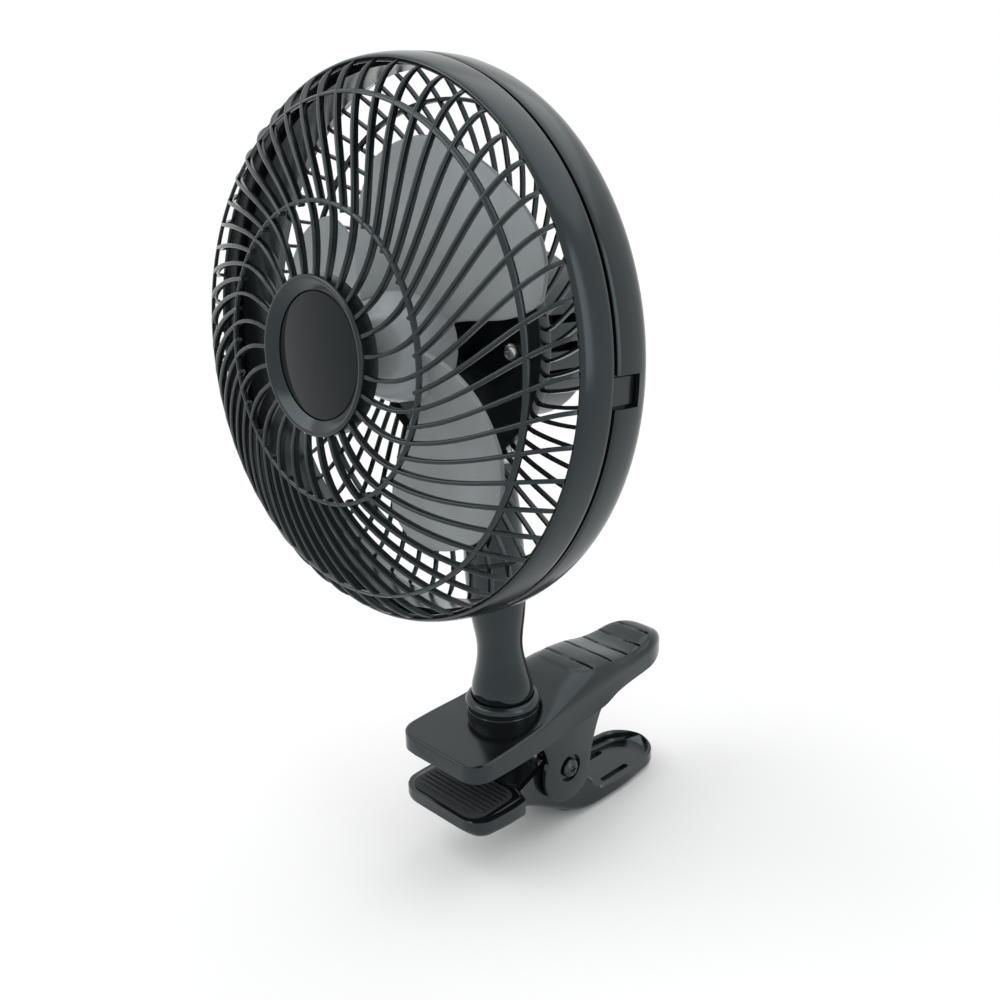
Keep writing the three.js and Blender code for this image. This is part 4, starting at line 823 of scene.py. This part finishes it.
# A rib's section: how far across and how deep behind the dome each of its corners is.
rib_section = [(0.7, 0.95), (0.64, 0.5), (0.44, 0.16), (0.15, 0.02), (-0.15, 0.02), (-0.44, 0.16),
               (-0.64, 0.5), (-0.7, 0.95), (-0.44, 2.6), (0.44, 2.6)]


def rib(name, start, end, steps, angle_at, surface, side, drops=(0.0, 0.0), depth_share=1.0):
    """One rib along a dome. Its sides are square to the parting plane, its face is round."""
    def corner(u, v):
        share = 1 - (1 - u) ** 1.35
        radius = start + (end - start) * share
        drop = drops[0] * max(0.0, 1 - u * 9) + drops[1] * max(0.0, u * 9 - 8)
        angle = radians(angle_at(radius))
        further, nearer = radius + 0.3, radius - 0.3
        ahead, behind = radians(angle_at(further)), radians(angle_at(nearer))
        step = Vector((further * cos(ahead) - nearer * cos(behind),
                       further * sin(ahead) - nearer * sin(behind))).normalized()
        across, deep = rib_section[round(v * len(rib_section)) % len(rib_section)]
        return (radius * cos(angle) - step.y * across,
                -surface(radius) + side * max(deep * depth_share, drop),
                radius * sin(angle) + step.x * across)

    return skinned(name, steps, len(rib_section), corner)


def ring_of(first_piece, count):
    """Copies a piece round the fan's axis, each copy with its own mesh."""
    copies = [first_piece]
    for i in range(1, count):
        copy = first_piece.copy()
        copy.data = first_piece.data.copy()
        copy.data.transform(Matrix.Rotation(-2 * pi * i / count, 4, "Y"))
        bpy.context.collection.objects.link(copy)
        copies.append(copy)
    return copies


def hoop(name, radius, surface, side):
    """A round bar of the dome, across all ribs."""
    slope = surface(radius + 0.5) - surface(radius - 0.5)
    outline = []
    for across, depth in ((0.75, 0.6), (0.52, 0.26), (0.2, 0.1), (-0.2, 0.1), (-0.52, 0.26),
                          (-0.75, 0.6), (-0.55, 1.7), (0.55, 1.7)):
        at = radius + across
        outline.append((at, -surface(radius) - slope * across + side * depth))
    return turned(name, outline, 180, y_axis)


front_edge = front_surface(rim_front_radius)
front_rim = turned("front_rim", [
    (87.9, -front_edge - 0.1), (88.4, -front_edge + 0.2), (89.0, -front_edge + 1.6), (89.6, -8.0),
    (90.1, -5.0), (90.35, -2.4), (90.4, -1.3), (90.15, -0.75), (89.7, -0.6), (88.4, -0.6),
    (88.3, -3.0), (87.8, -7.0), (86.6, -front_edge + 1.4), (86.8, -front_edge + 0.6),
    (87.3, -front_edge + 0.1)], 216, y_axis)

badge_deep, badge_thick, badge_gap = 2.4, 1.8, 0.3
badge_face = front_surface(badge_ring) - badge_deep
badge_seat = badge_face - badge_thick - badge_gap
lip = front_surface(badge_ring) + 0.34
badge_cup = turned("badge_cup", [
    (0.0, -badge_seat), (20.1, -badge_seat), (20.1, -badge_face - 0.05), (20.4, -badge_face - 0.3),
    (23.2, -lip + 0.25), (23.9, -lip - 0.05), (24.4, -lip + 0.05), (24.8, -lip + 0.5),
    (24.9, -lip + 1.1), (24.9, -badge_seat + 1.6), (24.5, -badge_seat + 2.0), (0.0, -badge_seat + 2.0)],
    144, y_axis)

rib_end = rim_front_radius - 0.2
long_rib = rib("long_rib", badge_ring - 0.5, rib_end, 26, front_angle, front_surface, 1,
               drops=(0.6, 1.5))
short_rib = rib("short_rib", inner_hoop - 1.2, rib_end, 18, front_angle, front_surface, 1,
                drops=(0.0, 1.5))
short_rib.data.transform(Matrix.Rotation(-2 * pi / rib_count, 4, "Y"))
grille = ring_of(long_rib, rib_count // 2) + ring_of(short_rib, rib_count // 2)
hook_inner, hook_outer = 88.2, 88.9
hooks = []
for side in (1, -1):
    hook_points = [(side * hook_inner, y, z) for y, z in ((-2.0, -4.0), (-2.0, 4.0), (9.1, 4.0),
                                                          (9.1, -4.0))]
    hooks.append(plate("hook", hook_points, (side * (hook_outer - hook_inner), 0, 0)))
front_guard = join("front_grille", [
    front_rim, badge_cup, hoop("inner_hoop", inner_hoop, front_surface, 1),
    hoop("outer_hoop", outer_hoop, front_surface, 1), *grille, *hooks])
finish_piece(front_guard, "head", guard_plastic, ["front_guard"], head, 40)

# ---------------------------------------------------------------- badge
# A round disc that lies in the cup. It is left bare: plain, very glossy black, with its
# specular level set low.
badge_gloss = moulded("badge_gloss", (0.002, 0.002, 0.002), 0.05, 120.0, 0.00001, 0.02)
badge_gloss.node_tree.nodes["Principled BSDF"].inputs["Specular IOR Level"].default_value = 0.25
badge = turned("badge_plain", [
    (0.0, -badge_seat - badge_gap), (19.8, -badge_seat - badge_gap), (19.8, -badge_face + 0.35),
    (19.6, -badge_face + 0.1), (19.2, -badge_face), (0.0, -badge_face - 0.15)], 128, y_axis)
finish_piece(badge, "head", badge_gloss, ["badge_disc"], head)

# ---------------------------------------------------------------- rear guard
# The flatter rear half: 54 ribs from a centre plate to the rim band, one hoop, a spigot
# inside the front rim and a latch window at each side.
plate_radius = 41.8


def rear_surface(radius):
    return -rear_dome * (1 - (radius / (rim_radius + 1.6)) ** 4) ** 0.36


def rear_angle(radius):
    share = min(max((radius - plate_radius) / (rim_front_radius - plate_radius), 0.0), 1.0)
    return rib_phase + front_sweep - rear_sweep * (1 - share) ** 1.4


rear_rim = turned("rear_rim", [
    (90.1, 0.6), (90.4, 1.0), (90.65, 2.4), (90.75, 6.0), (90.65, 9.6), (90.1, 12.2), (89.4, 13.8),
    (88.4, 14.5), (87.7, 14.3), (86.4, 10.4), (86.0, 9.4), (86.2, -4.0), (87.9, -4.0), (87.9, 0.6)],
    216, y_axis)
window_floor = 88.1
for side in (1, -1):
    window_points = [(side * window_floor, y, z) for y, z in ((0.2, -4.8), (0.2, 4.8), (9.7, 4.8),
                                                              (9.7, -4.8))]
    cut(rear_rim, plate("window", window_points, (side * 6, 0, 0)))
rear_back = -rear_surface(plate_radius)
rear_plate = turned("rear_plate", [
    (8.1, rear_back - 2.2), (39.8, rear_back - 2.2), (41.4, rear_back - 4.2), (41.8, rear_back - 4.1),
    (42.2, rear_back - 0.3), (41.9, rear_back + 0.2), (8.1, rear_back + 0.2)], 144, y_axis)
rear_rib = rib("rear_rib", plate_radius - 0.6, rim_radius - 2.1, 16, rear_angle, rear_surface, -1,
               drops=(0.4, 1.5), depth_share=0.72)
rear_guard = join("rear_grille", [
    rear_rim, rear_plate, hoop("rear_hoop", outer_hoop - 0.4, rear_surface, -1),
    *ring_of(rear_rib, rib_count)])
finish_piece(rear_guard, "head", guard_plastic, ["rear_guard"], head, 40)

# ---------------------------------------------------------------- impeller
# Three broad blades and a round-nosed hub, moulded in a smoky grey, slightly clear plastic.
blade_plastic = moulded("blade_plastic", (0.4, 0.43, 0.44), 0.34, 300.0, 0.00001, 0.05)
blade_plastic.node_tree.nodes["Principled BSDF"].inputs["Transmission Weight"].default_value = 0.12
hub_plastic = moulded("hub_plastic", (0.55, 0.59, 0.61), 0.2, 300.0, 0.00001, 0.06)
hub_plastic.node_tree.nodes["Principled BSDF"].inputs["Transmission Weight"].default_value = 0.2
hub_radius, blade_tip = 18.0, 68.5
blade_root = hub_radius - 0.9


def leading(radius):
    """Where the front edge of a blade is round the axis, in degrees."""
    return 18 + 13 * ((47 - radius) / 30) ** 2


def trailing(radius):
    """Where the rear edge of a blade is round the axis, in degrees."""
    out_by = radius - hub_radius
    return 126 - 0.55 * out_by - 0.0045 * out_by * out_by


def blade_corner(u, v):
    tip = blade_tip - 9 * abs(2 * u - 1) ** 6
    radius = blade_root + (tip - blade_root) * v
    start = leading(radius)
    angle = radians(start + (trailing(radius) - start) * u)
    reach = min(max((radius - hub_radius) / (blade_tip - hub_radius), 0.0), 1.0)
    pitch = (-7 + 16 * u) * (1 - 0.25 * reach) - 2.2 * sin(pi * u)
    return (radius * cos(angle), -pitch, radius * sin(angle))


bpy.ops.object.select_all(action="DESELECT")
bpy.ops.mesh.primitive_grid_add(x_subdivisions=40, y_subdivisions=30, size=1)
blade = bpy.context.object
for corner in blade.data.vertices:
    corner.co = blade_corner(corner.co.x + 0.5, corner.co.y + 0.5)
edit(blade)
bpy.ops.mesh.normals_make_consistent(inside=False)
bpy.ops.object.mode_set(mode="OBJECT")
modify(blade, "SOLIDIFY", thickness=1.7, offset=0.0)
soften(blade, 0.45, 2, 50)
close_up(blade)
blades = join("impeller_blades", ring_of(blade, 3))
finish_piece(blades, "rotor", blade_plastic, ["impeller"], head)

hub = turned("impeller_hub", [
    (0.0, -15.8), (3.0, -15.7), (6.0, -15.35), (9.0, -14.6), (12.0, -13.2), (14.4, -11.4),
    (16.2, -9.0), (17.4, -6.4), (17.9, -4.2), (18.0, -2.0), (18.0, 7.6), (17.7, 8.0), (16.2, 8.0),
    (16.2, -4.0), (5.2, -11.8), (5.2, 7.0), (2.2, 7.0), (2.2, -7.0), (0.0, -7.0)], 96, y_axis)
finish_piece(hub, "rotor", hub_plastic, None, head)

# ---------------------------------------------------------------- motor housing
# A front cover screwed to the rear guard's plate and a deep rear cover with vent slots
# and two ears that hold the neck's tongue by the tilt bolt.
housing_plastic = moulded("housing_plastic", (0.01, 0.0105, 0.011), 0.32, 1100.0, 0.00004, 0.06)
motor_radius, case_bore, case_corner = 29.8, 27.6, 5.0
piece_gap, cover_thick, case_long = 0.3, 2.3, 34.0
cover_front = rear_back + 0.2 + piece_gap
cover_rear = cover_front + cover_thick
case_front = cover_rear + piece_gap
case_rear = case_front + case_long
inside_face = case_rear - wall_thick
case_screw_x, case_screw_bore, vent_step = 21.4, 1.7, 18.0
knob_z, gland_z = 14, -17
ear_radius, ear_inner, ear_thick, ear_foot = 8.8, 5.5, 4.0, -25.8

front_cover = turned("motor_front_plate", [
    (5.3, cover_front - 9.0), (7.5, cover_front - 9.0), (7.8, cover_front - 8.7), (7.8, cover_front),
    (29.5, cover_front), (motor_radius, cover_front + 0.3), (motor_radius, cover_rear),
    (27.3, cover_rear),
    (27.3, cover_rear + 1.8), (25.7, cover_rear + 1.8), (25.7, cover_rear), (3.0, cover_rear),
    (3.0, cover_rear - 0.8), (5.3, cover_rear - 0.8)], 96, y_axis)
finish_piece(front_cover, "head", housing_plastic, ["motor_front_cover"], head)



def lengthwise(name, radius, start_y, end_y, x=0, z=0):
    """A rod parallel to the fan's axis."""
    return rod(name, radius, (x, start_y, z), (x, end_y, z))


case_outline = [
    (0.0, inside_face), (24.8, inside_face), (26.6, inside_face - 0.8),
    (case_bore, inside_face - 2.8), (case_bore, case_front), (motor_radius, case_front)]
case_outline += arc((motor_radius - case_corner, case_rear - case_corner), case_corner, 0, 90, 8)
case_outline += [(0.0, case_rear)]
rear_cover = turned("rear_case", case_outline, 128, y_axis)
vent_middle = case_rear - 19
vent_points = [(20, vent_middle - 6, -1.5), (36, vent_middle - 6, -1.5),
               (36, vent_middle + 8, -1.5), (20, vent_middle + 8, -1.5)]
for side in (0, 180):
    for step in (-1, 0, 1):
        vent = plate("vent", vent_points, (0, 0, 3.0))
        vent.data.transform(Matrix.Rotation(-radians(side + step * vent_step), 4, "Y"))
        cut(rear_cover, vent)
cut(rear_cover, lengthwise("cord_hole", 3.3, inside_face - 1, case_rear + 2, z=gland_z))
cut(rear_cover, lengthwise("knob_hole", 3.3, inside_face - 1, case_rear + 2, z=knob_z))
for x in (case_screw_x, -case_screw_x):
    cut(rear_cover, lengthwise("screw_hole", case_screw_bore, inside_face - 1, case_rear + 2, x))
bosses = [lengthwise("bush_seat", 7.8, inside_face - 7.5, inside_face + 0.5)]
cut(bosses[0], lengthwise("bush_bore", 5.3, inside_face - 9, inside_face - 0.3))
for x in (case_screw_x, -case_screw_x):
    post = lengthwise("case_post", 3.4, case_front + 0.2, inside_face + 0.5, x)
    cut(post, lengthwise("post_bore", case_screw_bore, case_front - 1, case_rear, x))
    bosses.append(post)
ear_points = arc((tilt_behind, -tilt_below), ear_radius, 180, 360, 32)
ear_points += [(49.7, ear_foot), (30.2, ear_foot)]
for side in (1, -1):
    ear = plate("ear", [(side * ear_inner, y, z) for y, z in ear_points], (side * ear_thick, 0, 0))
    soften(ear, 0.5, 3)
    cut(ear, rod("bolt_bore", tilt_bore, (side * 3, tilt_behind, -tilt_below),
                 (side * 12, tilt_behind, -tilt_below)))
    bosses.append(ear)
rear_cover = join("motor_case", [rear_cover, *bosses])
finish_piece(rear_cover, "head", housing_plastic, ["motor_rear_cover"], head)

# ---------------------------------------------------------------- screws of the head
# Four bright cross-head screws hold the rear guard to the front cover, and two longer
# ones close the housing. The tilt bolt and its hexagon nut clamp the ears.
plate_seat, plate_screw_circle = rear_back - 2.2, 27.2
for i in range(4):
    angle = pi / 2 * i
    x, z = plate_screw_circle * cos(angle), plate_screw_circle * sin(angle)
    screw = cross_screw(f"plate_screw_{i + 1}", head=2.9, shank=1.4, height=2.0,
                        start=-(cover_rear - 0.2), seat=-(plate_seat - piece_gap),
                        axis=y_axis, recess=1.2)
    screw.data.transform(Matrix.Translation((x, 0, z)) @ Matrix.Rotation(pi, 4, "Z"))
    finish_piece(screw, "head", bright_steel, [f"guard_screw_{i + 1}"], head)
for i, side in enumerate((1, -1)):
    screw = cross_screw(f"case_long_screw_{i + 1}", head=2.9, shank=1.4, height=1.9,
                        start=cover_front + 0.6, seat=case_rear + piece_gap,
                        axis=y_axis, recess=1.2)
    screw.data.transform(Matrix.Translation((side * case_screw_x, 0, 0)))
    finish_piece(screw, "head", zinc_steel, [f"case_screw_{i + 1}"], head)

bolt = cross_screw("tilt_bolt_head", head=4.6, shank=2.4, height=2.6, start=-14.0, seat=9.8,
                   axis=z_axis, recess=1.8)
finish_piece(bolt, "head", zinc_steel, ["tilt_bolt"], tilt_place @ z_to_x)
finish_piece(hex_nut("tilt_hex_nut", 4.6, -9.8, 3.6), "head", zinc_steel,
             ["tilt_nut"], tilt_place)

# ---------------------------------------------------------------- speed knob and cord gland
# A round knob with a bar grip turns the switch, and a ribbed rubber gland marks the place
# where the supply comes in.
knob_foot, knob_grip = case_rear + piece_gap, case_rear + 1.3
knob = turned("knob_skirt", [
    (0.0, knob_foot), (7.9, knob_foot), (8.2, case_rear + 0.6), (8.2, case_rear + 2.4),
    (7.8, case_rear + 2.9), (6.6, case_rear + 3.7), (0.0, case_rear + 3.7)], 96, y_axis)
grip_points = [(x, knob_grip, z) for x, z in round_corners(2.1, -7.6, 7.6, 2.0)]
grip = plate("grip", grip_points, (0, 8.0, 0))
soften(grip, 0.4, 3)
stem = lengthwise("stem", 3.0, inside_face - 2, knob_grip)
knob = join("speed_knob_grip", [knob, grip, stem])
finish_piece(knob, "knob", housing_plastic, ["switch_knob"],
             head @ Matrix.Translation((0, 0, knob_z * mm)))

gland_inner, gland_start, gland_seat = 2.3, inside_face - 0.4, case_rear + piece_gap
gland_outline = [(gland_inner, gland_start), (3.0, gland_start), (3.0, gland_seat), (4.4, gland_seat)]
for i in range(4):
    at, crest, valley = case_rear + 0.9 + 1.5 * i, 4.3 - 0.15 * i, 3.5 - 0.1 * i
    gland_outline += [(crest, at), (crest, at + 0.7), (valley, at + 0.8), (valley, at + 1.4)]
gland_outline += [(gland_inner, case_rear + 7.2)]
gland = turned("cord_gland_rubber", gland_outline, 64, y_axis)
finish_piece(gland, "head", pad_rubber, ["cord_gland"],
             head @ Matrix.Translation((0, 0, gland_z * mm)))

# ---------------------------------------------------------------- inside the motor and under the clip
# Sealed pieces keep their solids and get the finish of laminated steel, enamelled copper,
# sintered bronze, ground shaft steel, zinc plate and the housing's plastic.
core_steel = metal("core_steel", (0.2, 0.2, 0.21), 0.5, (1.0, 40.0, 1.0), 90.0)
copper_wire = metal("copper_wire", (0.5, 0.17, 0.07), 0.35, (1.0, 1.0, 30.0), 200.0)
bronze = metal("bronze", (0.5, 0.36, 0.18), 0.45)
inner_finish = {
    "motor_shaft": bright_steel, "rotor_core": core_steel, "stator_core": core_steel,
    "stator_winding": copper_wire, "front_bush": bronze, "rear_bush": bronze,
    "neck_washer": zinc_steel, "neck_screw": zinc_steel, "switch_body": housing_plastic}
for node, material in inner_finish.items():
    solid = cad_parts[node]
    solid.data.materials.clear()
    solid.data.materials.append(material)
